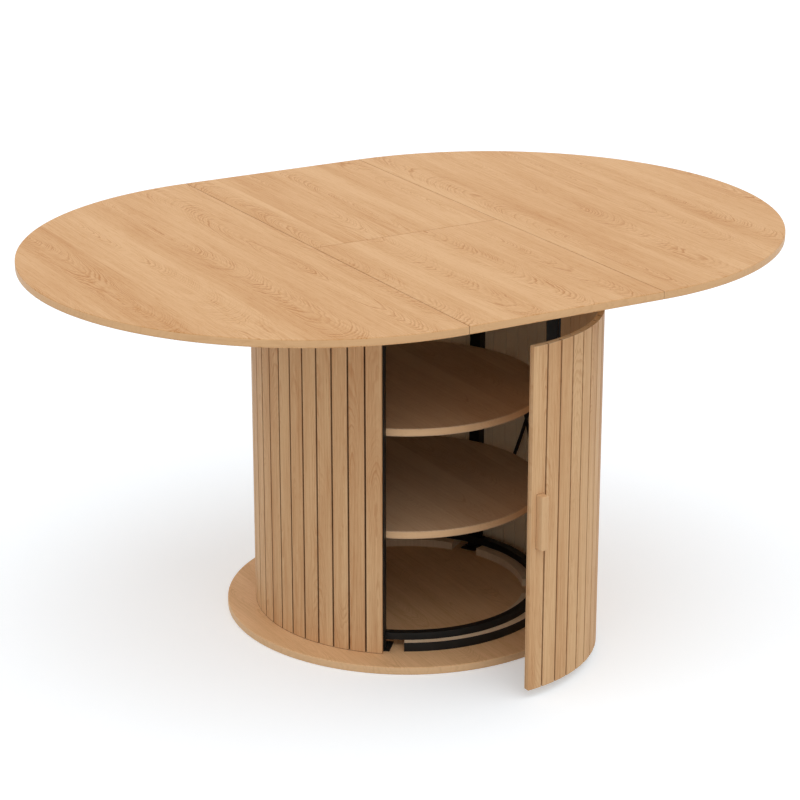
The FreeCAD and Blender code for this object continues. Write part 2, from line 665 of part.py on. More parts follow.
def pedestal_nodes():
    """What stands still: base, frame, shelves, walls, cap and rails."""
    nodes = {"base_plate": disc(BASE_RADIUS, 0, BASE_THICKNESS)}
    doorway = (POST_ANGLES[-1] - 360, POST_ANGLES[0])
    threshold_inner = THRESHOLD_RADIUS - THRESHOLD_STRIP
    nodes["plinth_front"] = plinth_block(*doorway, threshold_inner, DOORWAY_SETBACK_ANGLE)
    nodes["threshold_strip"] = sector(
        threshold_inner,
        THRESHOLD_RADIUS,
        BASE_THICKNESS,
        PLINTH_TOP + THRESHOLD_RISE,
        doorway[0] + DOORWAY_SETBACK_ANGLE,
        doorway[1] - DOORWAY_SETBACK_ANGLE,
    )
    ring_inner = RING_OUTER - RING_WIDTH
    nodes["bottom_ring"] = full_ring(ring_inner, RING_OUTER, PLINTH_TOP, PLINTH_TOP + RING_HEIGHT)
    nodes["top_ring"] = full_ring(ring_inner, RING_OUTER, TOP_RING_BOTTOM, TOP_RING_BOTTOM + RING_HEIGHT)
    for name, angle in zip(POST_NAMES, POST_ANGLES):
        nodes["post_" + name] = post(angle)
    nodes["foot_plates"] = group(post_plates(BASE_THICKNESS))
    nodes["head_plates"] = group(post_plates(WALL_TOP - POST_PLATE_THICKNESS))
    for i, name in enumerate(BAY_NAMES):
        start = PANEL_ENDS[i]
        nodes["plinth_" + name] = plinth_block(*BAYS[i], WALL_INNER - FIT_GAP, PLINTH_SETBACK_ANGLE)
        nodes["cross_brace_" + name] = cross_brace(BAYS[i])
        nodes["wall_backing_" + name] = backing(start, PANEL_SLATS[i], BASE_THICKNESS, WALL_TOP)
        nodes["wall_slats_" + name] = group(slats(start, PANEL_SLATS[i], BASE_THICKNESS, WALL_TOP))
    tab_angles = [angle for bay in BAYS for angle in brace_tab_angles(bay)]
    shelves = {
        "middle": (MIDDLE_SHELF_HEIGHT, POST_ANGLES),
        "upper": (UPPER_SHELF_HEIGHT, POST_ANGLES + tab_angles),
    }
    for name, (height, screw_angles) in shelves.items():
        nodes["shelf_" + name] = shelf(height, screw_angles)
        nodes["shelf_brackets_" + name] = group([shelf_bracket(height, a) for a in POST_ANGLES])
        nodes["shelf_screws_" + name] = group([shelf_screw(height, a) for a in screw_angles])
    nodes["hinge_leaves_fixed"] = group([hinge_leaf(1, z) for z in HINGE_HEIGHTS])
    nodes["hinge_pins"] = group([hinge_pin(z) for z in HINGE_HEIGHTS])
    nodes["magnet_catch"] = magnet_catch()
    nodes["drum_cap"] = drum_cap()
    for name, side in (("front", -1), ("back", 1)):
        nodes["track_" + name] = track(side)
        nodes["glide_strip_" + name] = glide(side)
    nodes["track_screws"] = group([track_screw(place) for place in TRACK_SCREW_PLACES])
    return nodes


def door_nodes():
    """The curved door, where it stands open."""
    plate_top = DOOR_TOP - CATCH_GAP
    closed = {
        "door_backing": drill_for_handle(backing(LATCH_ANGLE, DOOR_SLATS, DOOR_BOTTOM, DOOR_TOP)),
        "door_slats": drill_for_handle(group(slats(LATCH_ANGLE, DOOR_SLATS, DOOR_BOTTOM, DOOR_TOP))),
        "door_handle": door_handle(),
        "handle_screws": group(handle_screws()),
        "hinge_leaves_door": group([hinge_leaf(-1, z) for z in HINGE_HEIGHTS]),
        "catch_plate": sector(
            WALL_INNER - CATCH_PLATE_THICKNESS,
            WALL_INNER,
            plate_top - CATCH_PLATE_HEIGHT,
            plate_top,
            CATCH_ANGLE - CATCH_PLATE_HALF_ANGLE,
            CATCH_ANGLE + CATCH_PLATE_HALF_ANGLE,
        ),
    }
    return {name: swing(shape) for name, shape in closed.items()}


def top_nodes():
    """The two halves of the top with their slides, and the folding leaf between them."""
    nodes = {}
    for name, end in (("left", -1), ("right", 1)):
        nodes["top_" + name] = half_top(end)
        nodes["slide_bars_" + name] = group([slide_bar(end, side) for side in (-1, 1)])
        nodes["bearers_" + name] = group([bearer(end, i) for i in (0, 1)])
    for name, side in (("front", -1), ("back", 1)):
        nodes["leaf_" + name] = leaf_board(side)
        barrels = [leaf_barrel(side, end, LEAF_HINGE_SLOT) for end in (-1, 1)]
        nodes["leaf_hinges_" + name] = group(barrels)
    return nodes


def main():
    os.makedirs("parts", exist_ok=True)
    for nodes in (pedestal_nodes(), door_nodes(), top_nodes()):
        for name, shape in nodes.items():
            shape.exportStep(os.path.join("parts", name + ".step"))
            print(name, len(shape.Solids), round(shape.Volume), shape.isValid())


main()
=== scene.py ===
import math

import bpy
import numpy as np
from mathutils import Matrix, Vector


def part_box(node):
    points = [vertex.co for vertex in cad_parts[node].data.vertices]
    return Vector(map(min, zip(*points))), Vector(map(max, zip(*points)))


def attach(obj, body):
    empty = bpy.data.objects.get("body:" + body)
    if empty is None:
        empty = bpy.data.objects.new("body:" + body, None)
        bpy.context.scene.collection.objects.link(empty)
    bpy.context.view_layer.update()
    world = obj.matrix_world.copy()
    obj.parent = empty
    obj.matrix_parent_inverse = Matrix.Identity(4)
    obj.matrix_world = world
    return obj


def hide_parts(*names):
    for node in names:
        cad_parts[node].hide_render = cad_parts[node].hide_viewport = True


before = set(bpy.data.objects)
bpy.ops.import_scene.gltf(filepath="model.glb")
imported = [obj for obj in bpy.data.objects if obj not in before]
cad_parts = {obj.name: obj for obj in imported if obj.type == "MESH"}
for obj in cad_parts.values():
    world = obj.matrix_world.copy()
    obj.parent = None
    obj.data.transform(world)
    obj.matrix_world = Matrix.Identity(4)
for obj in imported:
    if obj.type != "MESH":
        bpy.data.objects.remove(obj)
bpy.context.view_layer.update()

bl_info = {
    "name": "Drum Cabinet Table",
    "version": (1, 0, 0),
    "blender": (4, 5, 0),
    "location": "View3D > Sidebar > Table",
    "description": "Finishes, small fittings and a studio for an extending table on a slatted drum cabinet",
    "category": "Object",
}

# ---- sizes of the table, in metres and radians ------------------------------------------------------

SLAT_COUNT = 57  # all the way round the drum
DOOR_SLATS = 15
PANEL_SLATS = (10, 11, 11, 10)  # in the wall's panels, from the hinge round the back to the latch

DRUM_RADIUS = 0.300
LINING_RADIUS = 0.288  # inner face of the drum's wall
CARRIER_RADIUS = 0.2908  # just inside the bent board's outer face, to which the slats are glued
SLAT_PITCH = 2 * math.pi / SLAT_COUNT
LATCH_ANGLE = math.radians(-38.9)
HINGE_ANGLE = LATCH_ANGLE + DOOR_SLATS * SLAT_PITCH
HINGE_RADIUS = 0.305
DOOR_SWING = math.radians(40.6)  # how far the door stands open
HINGE_PIN = np.array((HINGE_RADIUS * math.sin(HINGE_ANGLE), -HINGE_RADIUS * math.cos(HINGE_ANGLE), 0.0))

BOARD_ARRIS = 0.0008
TOP_RADIUS = 0.550
LEAF_HALF = 0.2  # half the leaf's width
BAND_MARGIN = BOARD_ARRIS * 0.6  # how far an edge band stays clear of its board's two faces
SEAM = 0.0004  # half the gap between neighbouring boards

POST_HALF_WIDTH = 0.0115
POST_OUTER = 0.2874
POST_INNER = 0.2659
POST_HALF_ANGLE = math.asin(POST_HALF_WIDTH / POST_OUTER)
PANEL_ENDS = [HINGE_ANGLE + SLAT_PITCH * sum(PANEL_SLATS[:n]) for n in range(len(PANEL_SLATS) + 1)]
POST_ANGLES = [PANEL_ENDS[0] + POST_HALF_ANGLE] + PANEL_ENDS[1:4] + [PANEL_ENDS[4] - POST_HALF_ANGLE]
BRACKET_SCREW_RADIUS = 0.25515
BRACKET_THICKNESS = 0.002

HANDLE_ANGLE = LATCH_ANGLE + math.radians(3.9)
HANDLE_HEIGHT = 0.345
HANDLE_HALF_WIDTH = 0.00775
HANDLE_HALF_LENGTH = 0.052
HANDLE_SCREW_REACH = 0.032  # from the handle's middle up and down to its screws

TRACK_HALF_SPACING = 0.170  # from the table's middle line to a rail's
TRACK_SCREW_PLACES = (-0.18, 0.0, 0.18)  # along a rail
TRACK_SCREW_OFFSET = 0.00875  # from a rail's middle to its two rows of screws
TRACK_SCREW_HEAD = 0.0024  # depth of the plain screw heads under the drum's cap

BRACE_INNER = 0.2689
BRACE_OUTER = 0.2719
BRACE_FOOT = 0.045
BRACE_CROSSING = 0.330
BRACE_PLAY = 0.0003  # between a post's side and the end of a crossed bar


# ---- meshes -----------------------------------------------------------------------------------------

UP = np.array((0.0, 0.0, 1.0))
SHARP_ANGLE = math.radians(35)  # faces that meet at more than this keep a hard edge
CROWN_POINTS = 9  # across the crowned face of an edge band

SCREW_SIDES = 32
DOME_RINGS = 14
# shares of a screw head's radius
DOME_CENTRE = 0.02
CROSS_WIDTH = 0.13
CROSS_REACH = 0.50
CROSS_SOFTNESS = 0.08
CROSS_DEPTH = 0.75  # share of the head's height
POINT_START = 0.86  # share of a screw's length
POINT_TIP = 0.3  # share of its shank's radius

BEAD_RINGS = 90
BEAD_SIDES = 10
BEAD_SWELL = 0.16  # share by which a weld bead's ripples grow and shrink it
BEAD_STOP = 0.0035  # how far short of a post's outer face a weld bead ends


def turned(points, angle):
    """Points turned round the drum's axis: x' = x cos a - y sin a, y' = x sin a + y cos a."""
    c, s = math.cos(angle), math.sin(angle)
    return points @ np.array(((c, s, 0.0), (-s, c, 0.0), (0.0, 0.0, 1.0)))


def swung(points):
    """Points of the closed door carried to where the door stands: a turn about the hinge pin."""
    return turned(points - HINGE_PIN, DOOR_SWING) + HINGE_PIN


def grid_faces(rows, columns, close_rows, close_columns):
    """Quads of a rows x columns grid of points, joined round in either direction where asked."""
    i = np.arange(rows if close_rows else rows - 1)[:, None]
    j = np.arange(columns if close_columns else columns - 1)[None, :]
    i2, j2 = (i + 1) % rows, (j + 1) % columns
    quads = np.stack([i * columns + j, i * columns + j2, i2 * columns + j2, i2 * columns + j], axis=-1)
    return quads.reshape(-1, 4)


def signed_volume(points, faces):
    """Sum of the tetrahedra between the origin and each face's fan of triangles."""
    total = 0.0
    for face in faces:
        p = points[list(face)]
        total += np.einsum("ij,ij->", np.cross(p[1:-1], p[2:]), np.broadcast_to(p[0], p[1:-1].shape))
    return total


def new_object(name, data):
    """An object put into the scene."""
    thing = bpy.data.objects.new(name, data)
    bpy.context.scene.collection.objects.link(thing)
    return thing


def add_piece(name, shells, body, material):
    """One object from closed shells of (points, faces, texture coordinates per point)."""
    points, faces, coords, start = [], [], [], 0
    for shell_points, shell_faces, shell_coords in shells:
        if signed_volume(shell_points - shell_points.mean(axis=0), shell_faces) < 0:
            shell_faces = [list(face)[::-1] for face in shell_faces]
        points.append(shell_points)
        coords.append(shell_coords)
        faces += [[int(v) + start for v in face] for face in shell_faces]
        start += len(shell_points)
    points, coords = np.concatenate(points), np.concatenate(coords)
    mesh = bpy.data.meshes.new(name)
    mesh.from_pydata(points.tolist(), [], faces)
    corner_points = np.empty(len(mesh.loops), np.int32)
    mesh.loops.foreach_get("vertex_index", corner_points)
    layer = mesh.uv_layers.new(name="along_and_across")
    layer.data.foreach_set("uv", coords[corner_points].astype(np.float32).ravel())
    mesh.shade_smooth()
    mesh.set_sharp_from_angle(angle=SHARP_ANGLE)
    mesh.materials.append(bpy.data.materials[material])
    piece = new_object(name, mesh)
    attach(piece, body)
    return piece


def tube_faces(rows, columns):
    """Quads of a tube made of rows rings of columns points each, and a face over either end."""
    sides = grid_faces(rows, columns, False, True).tolist()
    return sides + [list(range(columns))[::-1], list(range((rows - 1) * columns, rows * columns))]


def lengths_along(path):
    """The distance from the start of a path to each of its points."""
    return np.concatenate(([0.0], np.cumsum(np.linalg.norm(np.diff(path, axis=0), axis=1))))


def grid_coordinates(along, around):
    """Texture coordinates of a grid: one number for each row and one for each column."""
    return np.stack(np.meshgrid(along, around, indexing="ij"), axis=-1).reshape(-1, 2)


def swept(path, outwards, profile, closed):
    """A profile carried along a path: point(i, j) = path[i] + profile[j].x * outwards[i] + profile[j].y * up.

    The texture coordinates are the length along the path and the length round the profile.
    """
    points = path[:, None] + profile[None, :, :1] * outwards[:, None] + profile[None, :, 1:] * UP
    rows, columns = points.shape[:2]
    faces = grid_faces(rows, columns, True, True).tolist() if closed else tube_faces(rows, columns)
    return points.reshape(-1, 3), faces, grid_coordinates(lengths_along(path), lengths_along(profile))


def band_profile(depth, proud, low, high):
    """A thin upright strip with a crowned outer face.

    Over its height s goes from -1 to 1, and the face stands at x = proud * (1 - s^6) - arris * s^6 / 2.
    """
    s = np.linspace(-1, 1, CROWN_POINTS)
    x = proud * (1 - s**6) - BOARD_ARRIS * s**6 / 2
    crown = np.stack([x, (low + high) / 2 + s * (high - low) / 2], axis=1)
    back = np.array(((-depth, high), (-depth, low)))
    return np.concatenate([crown, back])


def arc(radius, centre_x, start, end, count):
    """Points of a level arc, (centre + radius * sin a, -radius * cos a), and its outward directions.

    The angle a starts at -Y and grows towards +X.
    """
    a = np.linspace(start, end, count)
    outwards = np.stack([np.sin(a), -np.cos(a), np.zeros_like(a)], axis=1)
    return radius * outwards + np.array((centre_x, 0.0, 0.0)), outwards


def cross_screw(head_radius, dome, head_depth, shank_radius, length):
    """A screw pointing up, its head's underside at z = 0: a profile turned round z, a cross sunk in its dome.

    The dome is z = -head_depth - dome * (1 - q^2), q the share of the head's radius. The cross is the union
    of two bars, max(width(x) * reach(y), width(y) * reach(x)), whose edges fall off in a straight ramp.
    """
    q = np.linspace(DOME_CENTRE, 1.0, DOME_RINGS)
    below_dome = (head_radius, shank_radius, shank_radius, shank_radius * POINT_TIP)
    radii = np.concatenate([q * head_radius, below_dome])
    heights = np.concatenate([-head_depth - dome * (1 - q**2), (0.0, 0.0, length * POINT_START, length)])
    a = np.linspace(0, 2 * math.pi, SCREW_SIDES, endpoint=False)
    x, y = radii[:, None] * np.cos(a), radii[:, None] * np.sin(a)
    z = np.broadcast_to(heights[:, None], x.shape).copy()

    def falling(t, limit):
        soft = head_radius * CROSS_SOFTNESS
        return np.clip((head_radius * limit + soft - np.abs(t)) / soft, 0, 1)

    bar_along_y = falling(x, CROSS_WIDTH) * falling(y, CROSS_REACH)
    bar_along_x = falling(y, CROSS_WIDTH) * falling(x, CROSS_REACH)
    cross = np.maximum(bar_along_y, bar_along_x)
    z[:DOME_RINGS] += (cross * (head_depth + dome) * CROSS_DEPTH)[:DOME_RINGS]
    points = np.stack([x, y, z], axis=-1).reshape(-1, 3)
    return points, tube_faces(len(radii), SCREW_SIDES), points[:, :2]


def placed(shell, axis, origin):
    """A shell whose z axis is laid along another direction and moved to an origin."""
    w = np.array(axis, float) / np.linalg.norm(axis)
    side = np.cross(UP if abs(w[2]) < 0.9 else (1.0, 0.0, 0.0), w)
    u = side / np.linalg.norm(side)
    points = shell[0] @ np.array((u, np.cross(w, u), w)) + np.array(origin)
    return points, shell[1], shell[2]


def radial(angle):
    """The outward direction at an angle round the drum."""
    return np.array((math.sin(angle), -math.cos(angle), 0.0))


# ---- node trees -------------------------------------------------------------------------------------

NODE_STEP_ACROSS = 180
NODE_STEP_DOWN = 260
NODES_IN_A_ROW = 14
SHADER_PLACE = (2600, 0)
OUTPUT_PLACE = (2900, 0)


class Net:
    """Places and joins the nodes of one tree, each new node to the right of the last."""

    def __init__(self, tree):
        self.tree = tree
        self.count = 0

    def node(self, kind, **settings):
        node = self.tree.nodes.new(kind)
        for key, value in settings.items():
            setattr(node, key, value)
        row, column = divmod(self.count, NODES_IN_A_ROW)
        node.location = (NODE_STEP_ACROSS * column, -NODE_STEP_DOWN * row)
        self.count += 1
        return node

    def put(self, socket, value):
        """Joins a socket to another one or sets its value; None leaves it as it is."""
        if isinstance(value, bpy.types.NodeSocket):
            self.tree.links.new(value, socket)
        elif value is not None:
            socket.default_value = value

    def made(self, kind, inputs, **settings):
        """A new node with its inputs put in order; returns its first output."""
        node = self.node(kind, **settings)
        for socket, value in zip(node.inputs, inputs):
            self.put(socket, value)
        return node.outputs[0]

    def math(self, operation, a, b=None, c=None, clamp=False):
        """One sum of up to three values, held between 0 and 1 where clamp is set."""
        return self.made("ShaderNodeMath", (a, b, c), operation=operation, use_clamp=clamp)

    def gap(self, a, b):
        """|a - b|."""
        return self.math("ABSOLUTE", self.math("SUBTRACT", a, b))

    def hypotenuse(self, a, b):
        """sqrt(a^2 + b^2)."""
        return self.math("SQRT", self.math("ADD", self.math("MULTIPLY", a, a), self.math("MULTIPLY", b, b)))

    def about_zero(self, value, swing=None):
        """A value from 0 to 1 moved to lie about zero, (value - 0.5) * swing."""
        centred = self.math("SUBTRACT", value, 0.5)
        return centred if swing is None else self.math("MULTIPLY", centred, swing)

    def split(self, vector):
        node = self.node("ShaderNodeSeparateXYZ")
        self.put(node.inputs[0], vector)
        return node.outputs

    def join(self, x, y, z):
        return self.made("ShaderNodeCombineXYZ", (x, y, z))

    def noise(self, vector, waves, detail):
        """A noise from 0 to 1 with its own number of waves to the metre along each axis."""
        node = self.node("ShaderNodeTexNoise", noise_dimensions="3D")
        stretched = self.made("ShaderNodeVectorMath", (vector, waves), operation="MULTIPLY")
        self.put(node.inputs["Vector"], stretched)
        self.put(node.inputs["Scale"], 1.0)
        self.put(node.inputs["Detail"], detail)
        return node.outputs[0]

    def ramp(self, value, low, high, to_low=0.0, to_high=1.0, smooth=True):
        """to_low where the value is under low, to_high where it is over high, and a smooth step between."""
        curve = "SMOOTHSTEP" if smooth else "LINEAR"
        return self.made("ShaderNodeMapRange", (value, low, high, to_low, to_high), interpolation_type=curve)

    def blend(self, factor, a, b):
        """A colour that goes from a to b as the factor goes from 0 to 1."""
        node = self.node("ShaderNodeMix", data_type="RGBA")
        self.put(node.inputs[0], factor)
        self.put(node.inputs[6], a)
        self.put(node.inputs[7], b)
        return node.outputs[2]


def new_group(name, inputs, outputs):
    """An empty shader group with named sockets; returns its net, its inputs and a way to join its outputs."""
    tree = bpy.data.node_groups.new(name, "ShaderNodeTree")
    kinds = {"value": "NodeSocketFloat", "vector": "NodeSocketVector", "color": "NodeSocketColor"}
    for label, kind, default in inputs:
        socket = tree.interface.new_socket(name=label, in_out="INPUT", socket_type=kinds[kind])
        if default is not None:
            socket.default_value = default
    for label, kind in outputs:
        tree.interface.new_socket(name=label, in_out="OUTPUT", socket_type=kinds[kind])
    net = Net(tree)
    source = net.node("NodeGroupInput")
    target = tree.nodes.new("NodeGroupOutput")
    target.location = OUTPUT_PLACE

    def give(**values):
        for label, value in values.items():
            tree.links.new(value, target.inputs[label])

    return net, source.outputs, give


STRIP_WAVES = (3.0, 1.2, 3.0)  # how the strips' sides wander, in waves to the metre
STRIP_WANDER = 0.35  # and by how many strips


def board_strips_group():
    """Splits flat boards into veneer strips, strip = floor(x / width + wander).

    Place is the distance across the strip from its middle, the length along it and the strip's number.
    """
    net, given, give = new_group(
        "board_strips",
        [("Vector", "vector", None), ("Strip Width", "value", 0.16), ("Seed", "value", 0.0)],
        [("Place", "vector")],
    )
    x, y = net.split(given["Vector"])[:2]
    wander = net.math("MULTIPLY", net.noise(given["Vector"], STRIP_WAVES, detail=1.0), STRIP_WANDER)
    strips = net.math("ADD", net.math("DIVIDE", x, given["Strip Width"]), wander)
    number = net.math("FLOOR", strips)
    inside = net.about_zero(net.math("SUBTRACT", strips, number))
    across = net.math("MULTIPLY", inside, given["Strip Width"])
    identity = net.math("ADD", number, given["Seed"])
    give(Place=net.join(across, y, identity))
    return net.tree


DOOR_END = 0.3  # Edge is 0 within this many slats of the door's ends


def slat_wrap_group():
    """Counts the drum's slats: angle = atan2(x, -y), number = floor((angle - latch) / pitch).

    Edge grows from 0 in a slat's middle to 0.5 at the seams between slats, and is 0 at the ends of the door.
    End is the distance to the nearer end of the door, counted in slats.
    """
    net, given, give = new_group(
        "slat_wrap",
        [("Vector", "vector", None), ("Seed", "value", 0.0)],
        [("Place", "vector"), ("Edge", "value"), ("End", "value")],
    )
    x, y, z = net.split(given["Vector"])
    angle = net.math("ARCTAN2", x, net.math("MULTIPLY", y, -1.0))
    turns = net.math("DIVIDE", net.math("SUBTRACT", angle, LATCH_ANGLE), SLAT_PITCH)
    number = net.math("FLOOR", turns)
    inside = net.about_zero(net.math("SUBTRACT", turns, number))
    across = net.math("MULTIPLY", inside, SLAT_PITCH * DRUM_RADIUS)
    identity = net.math("ADD", number, given["Seed"])
    end = net.math("MINIMUM", net.gap(turns, 0.0), net.gap(turns, DOOR_SLATS))
    edge = net.math("MULTIPLY", net.math("ABSOLUTE", inside), net.math("GREATER_THAN", end, DOOR_END))
    give(Place=net.join(across, z, identity), Edge=edge, End=end)
    return net.tree


# the numbers that give boards of one piece each their own place in the tree
LINING_NUMBER = 5.0
HANDLE_NUMBER = 7.0
BAND_NUMBER = 11.0
BATTEN_NUMBER = 13.0

# the oak's figure: waves to the metre across, along and through a board, and swings in metres
DRIFT_WAVES = (2.0, 2.6, 1.0)  # the slow rise and fall of the tree's middle
DRIFT = 0.10
SWAY_WAVES = (9.0, 2.6, 1.0)  # arches that lean to either side
SWAY = 0.030
WOBBLE_WAVES = (105.0, 30.0, 1.0)  # small unevenness of each ring
WOBBLE = 0.0050
FADE_WAVES = (38.0, 5.0, 1.0)  # patches in which the rings are faint
PORE_WAVES = (900.0, 34.0, 1.0)
FIBRE_WAVES = (330.0, 7.0, 1.0)
CLOUD_WAVES = (14.0, 1.3, 1.0)  # wide changes of tone
RING_WAVES = (0.31, 3.1, 1.0)  # changes of the rings' widths, in waves to the ring
RING_SWING = 3.0  # and by how many rings they shift
FLATTENING = 1.6  # how much faster the rings pass across a board than through it
BOARD_JUMPS = (0.05, 37.0, 19.0)  # how far apart two boards lie in the tree: across, along and through
START_JUMP = 0.9  # and how far apart their arches start
LATE_WOOD = (0.25, 0.82)  # where in a ring the late wood comes up
RING_END = (0.84, 1.0)  # and where it ends
EARLY_WOOD = (0.0, 0.55)  # where in a ring the pores thin out
LATE_PORES = 0.25  # and how many of them are left
FAINTEST_RING = 0.25
FADE = (0.30, 0.62, 0.15)  # the fading noise's range, and the strength that it leaves
FLANKS = (0.022, 0.070, 0.30)  # distances from the arches' middle over which the rings fade, and to what
PORE_EDGE = (0.54, 0.68)
# shares of the dark colour, then of the height and of the roughness
TONE, CLOUD_TONE, FIBRE_TONE = 0.16, 0.70, 0.55
PORE_HEIGHT, LATE_HEIGHT, FIBRE_HEIGHT = -0.7, 0.25, 0.3
OAK_ROUGHNESS, PORE_ROUGHNESS, LATE_ROUGHNESS = 0.44, 0.20, -0.06


def oak_figure_group():
    """Flat-sawn oak: growth rings seen where a board cuts them.

    The ring distance is sqrt((flattening * across)^2 + depth^2). The depth to the tree's middle is
    tilt * along and a slow drift, so rings meet the surface as nested arches, and as ovals where the depth
    passes zero. The rings' widths vary, and each ring has its own strength. Pores are short dark strokes in
    the early wood.
    """
    net, given, give = new_group(
        "oak_figure",
        [
            ("Place", "vector", None),
            ("Light", "color", (0.69, 0.42, 0.22, 1.0)),
            ("Dark", "color", (0.50, 0.27, 0.12, 1.0)),
            ("Ring Spacing", "value", 0.0045),
            ("Tilt", "value", 0.2),
            ("Line Strength", "value", 0.5),
            ("Pore Strength", "value", 0.5),
            ("Tone Spread", "value", 0.3),
            ("Streak Strength", "value", 1.0),
        ],
        [("Color", "color"), ("Height", "value"), ("Roughness", "value")],
    )
    across, along, identity = net.split(given["Place"])
    random = net.node("ShaderNodeTexWhiteNoise", noise_dimensions="1D")
    net.put(random.inputs["W"], identity)
    r1, r2, r3 = net.split(random.outputs["Color"])
    side_jump, length_jump, through_jump = BOARD_JUMPS
    length = net.math("ADD", along, net.math("MULTIPLY", r1, length_jump))
    offset = net.math("ADD", across, net.about_zero(r2, side_jump))
    place = net.join(offset, length, net.math("MULTIPLY", r3, through_jump))

    start = net.about_zero(r1, START_JUMP)
    lean = net.math("MULTIPLY", net.math("SIGN", net.about_zero(r3)), given["Tilt"])
    drift = net.about_zero(net.noise(place, DRIFT_WAVES, detail=1.0), DRIFT)
    depth = net.math("ADD", net.math("MULTIPLY", net.math("ADD", along, start), lean), drift)
    sway = net.about_zero(net.noise(place, SWAY_WAVES, detail=1.0), SWAY)
    wobble = net.about_zero(net.noise(place, WOBBLE_WAVES, detail=2.0), WOBBLE)
    sideways = net.math("MULTIPLY", net.math("ADD", offset, sway), FLATTENING)
    ring_distance = net.math("ADD", net.hypotenuse(sideways, depth), wobble)
    rings = net.math("DIVIDE", ring_distance, given["Ring Spacing"])
    widths = net.noise(net.join(rings, identity, 0.0), RING_WAVES, detail=1.0)
    rings = net.math("MULTIPLY_ADD", widths, RING_SWING, rings)
    phase = net.math("FRACT", rings)
    late = net.math("MULTIPLY", net.ramp(phase, *LATE_WOOD), net.ramp(phase, *RING_END, 1.0, 0.0))
    own = net.node("ShaderNodeTexWhiteNoise", noise_dimensions="2D")
    net.put(own.inputs["Vector"], net.join(net.math("FLOOR", rings), identity, 0.0))
    own_strength = net.ramp(own.outputs["Value"], 0.0, 1.0, FAINTEST_RING, 1.0, smooth=False)
    patches = net.ramp(net.noise(place, FADE_WAVES, detail=2.0), *FADE, 1.0)
    near, far, flank_strength = FLANKS
    flanks = net.ramp(net.math("ABSOLUTE", sideways), near, far, 1.0, flank_strength)
    for strength in (own_strength, patches, flanks):
        late = net.math("MULTIPLY", late, strength)

    stroke = net.ramp(net.noise(place, PORE_WAVES, detail=1.0), *PORE_EDGE)
    pores = net.math("MULTIPLY", stroke, net.ramp(phase, *EARLY_WOOD, 1.0, LATE_PORES))
    fibre = net.about_zero(net.noise(place, FIBRE_WAVES, detail=3.0))
    cloud = net.about_zero(net.noise(place, CLOUD_WAVES, detail=2.0))

    mix = net.math("MULTIPLY", late, given["Line Strength"])
    mix = net.math("MULTIPLY_ADD", pores, given["Pore Strength"], mix)
    streaks = net.math("MULTIPLY_ADD", cloud, CLOUD_TONE, net.math("MULTIPLY", fibre, FIBRE_TONE))
    mix = net.math("MULTIPLY_ADD", streaks, given["Streak Strength"], mix)
    mix = net.math("ADD", mix, net.about_zero(r3, given["Tone Spread"]))
    mix = net.math("ADD", mix, TONE, clamp=True)
    color = net.blend(mix, given["Light"], given["Dark"])
    height = net.math("MULTIPLY_ADD", pores, PORE_HEIGHT, net.math("MULTIPLY", late, LATE_HEIGHT))
    height = net.math("MULTIPLY_ADD", fibre, FIBRE_HEIGHT, height)
    rough = net.math("MULTIPLY_ADD", late, LATE_ROUGHNESS, OAK_ROUGHNESS)
    rough = net.math("MULTIPLY_ADD", pores, PORE_ROUGHNESS, rough)
    give(Color=color, Height=height, Roughness=rough)
    return net.tree


PEBBLE_WAVES = (1300.0, 1300.0, 1300.0)
GLOSS_WAVES = (28.0, 28.0, 28.0)
GLOSS_SWING = 0.16
WORN_BLACK = (0.018, 0.018, 0.018, 1.0)
WORN_RANGE = (-0.2, 0.35)  # of the gloss noise, over which worn black comes in
WORN_SHARE = 0.5
NYLON_BLACK = (0.03, 0.03, 0.03, 1.0)


def powder_coat_group():
    """The fine pebbling of sprayed paint, with wide soft changes of gloss."""
    net, given, give = new_group(
        "powder_coat",
        [
            ("Vector", "vector", None),
            ("Roughness", "value", 0.45),
            ("Color", "color", (0.02, 0.02, 0.021, 1.0)),
        ],
        [("Color", "color"), ("Height", "value"), ("Roughness", "value")],
    )
    pebble = net.noise(given["Vector"], PEBBLE_WAVES, detail=2.0)
    cloud = net.about_zero(net.noise(given["Vector"], GLOSS_WAVES, detail=3.0))
    rough = net.math("MULTIPLY_ADD", cloud, GLOSS_SWING, given["Roughness"])
    lighter = net.blend(net.ramp(cloud, *WORN_RANGE, 0.0, WORN_SHARE), given["Color"], WORN_BLACK)
    give(Color=lighter, Height=pebble, Roughness=rough)
    return net.tree


SCRATCH_WAVES = (30.0, 2600.0, 2600.0)
PATCH_WAVES = (45.0, 45.0, 45.0)
DULL_METAL = (0.32, 0.32, 0.33, 1.0)
PATCH_DULLS, SCRATCH_DULLS = 0.5, 0.35
PATCH_ROUGHENS, SCRATCH_ROUGHENS = 0.2, 0.12


def brushed_metal_group():
    """Long fine scratches along one axis, with faint dull patches."""
    net, given, give = new_group(
        "brushed_metal",
        [("Vector", "vector", None), ("Color", "color", (0.6, 0.6, 0.6, 1.0)), ("Roughness", "value", 0.3)],
        [("Color", "color"), ("Height", "value"), ("Roughness", "value")],
    )
    scratch = net.noise(given["Vector"], SCRATCH_WAVES, detail=2.0)
    patch = net.about_zero(net.noise(given["Vector"], PATCH_WAVES, detail=3.0))
    shade = net.math("MULTIPLY", scratch, SCRATCH_DULLS)
    shade = net.math("MULTIPLY_ADD", patch, PATCH_DULLS, shade, clamp=True)
    color = net.blend(shade, given["Color"], DULL_METAL)
    rough = net.math("MULTIPLY_ADD", scratch, SCRATCH_ROUGHENS, given["Roughness"])
    rough = net.math("MULTIPLY_ADD", patch, PATCH_ROUGHENS, rough)
    give(Color=color, Height=scratch, Roughness=rough)
    return net.tree


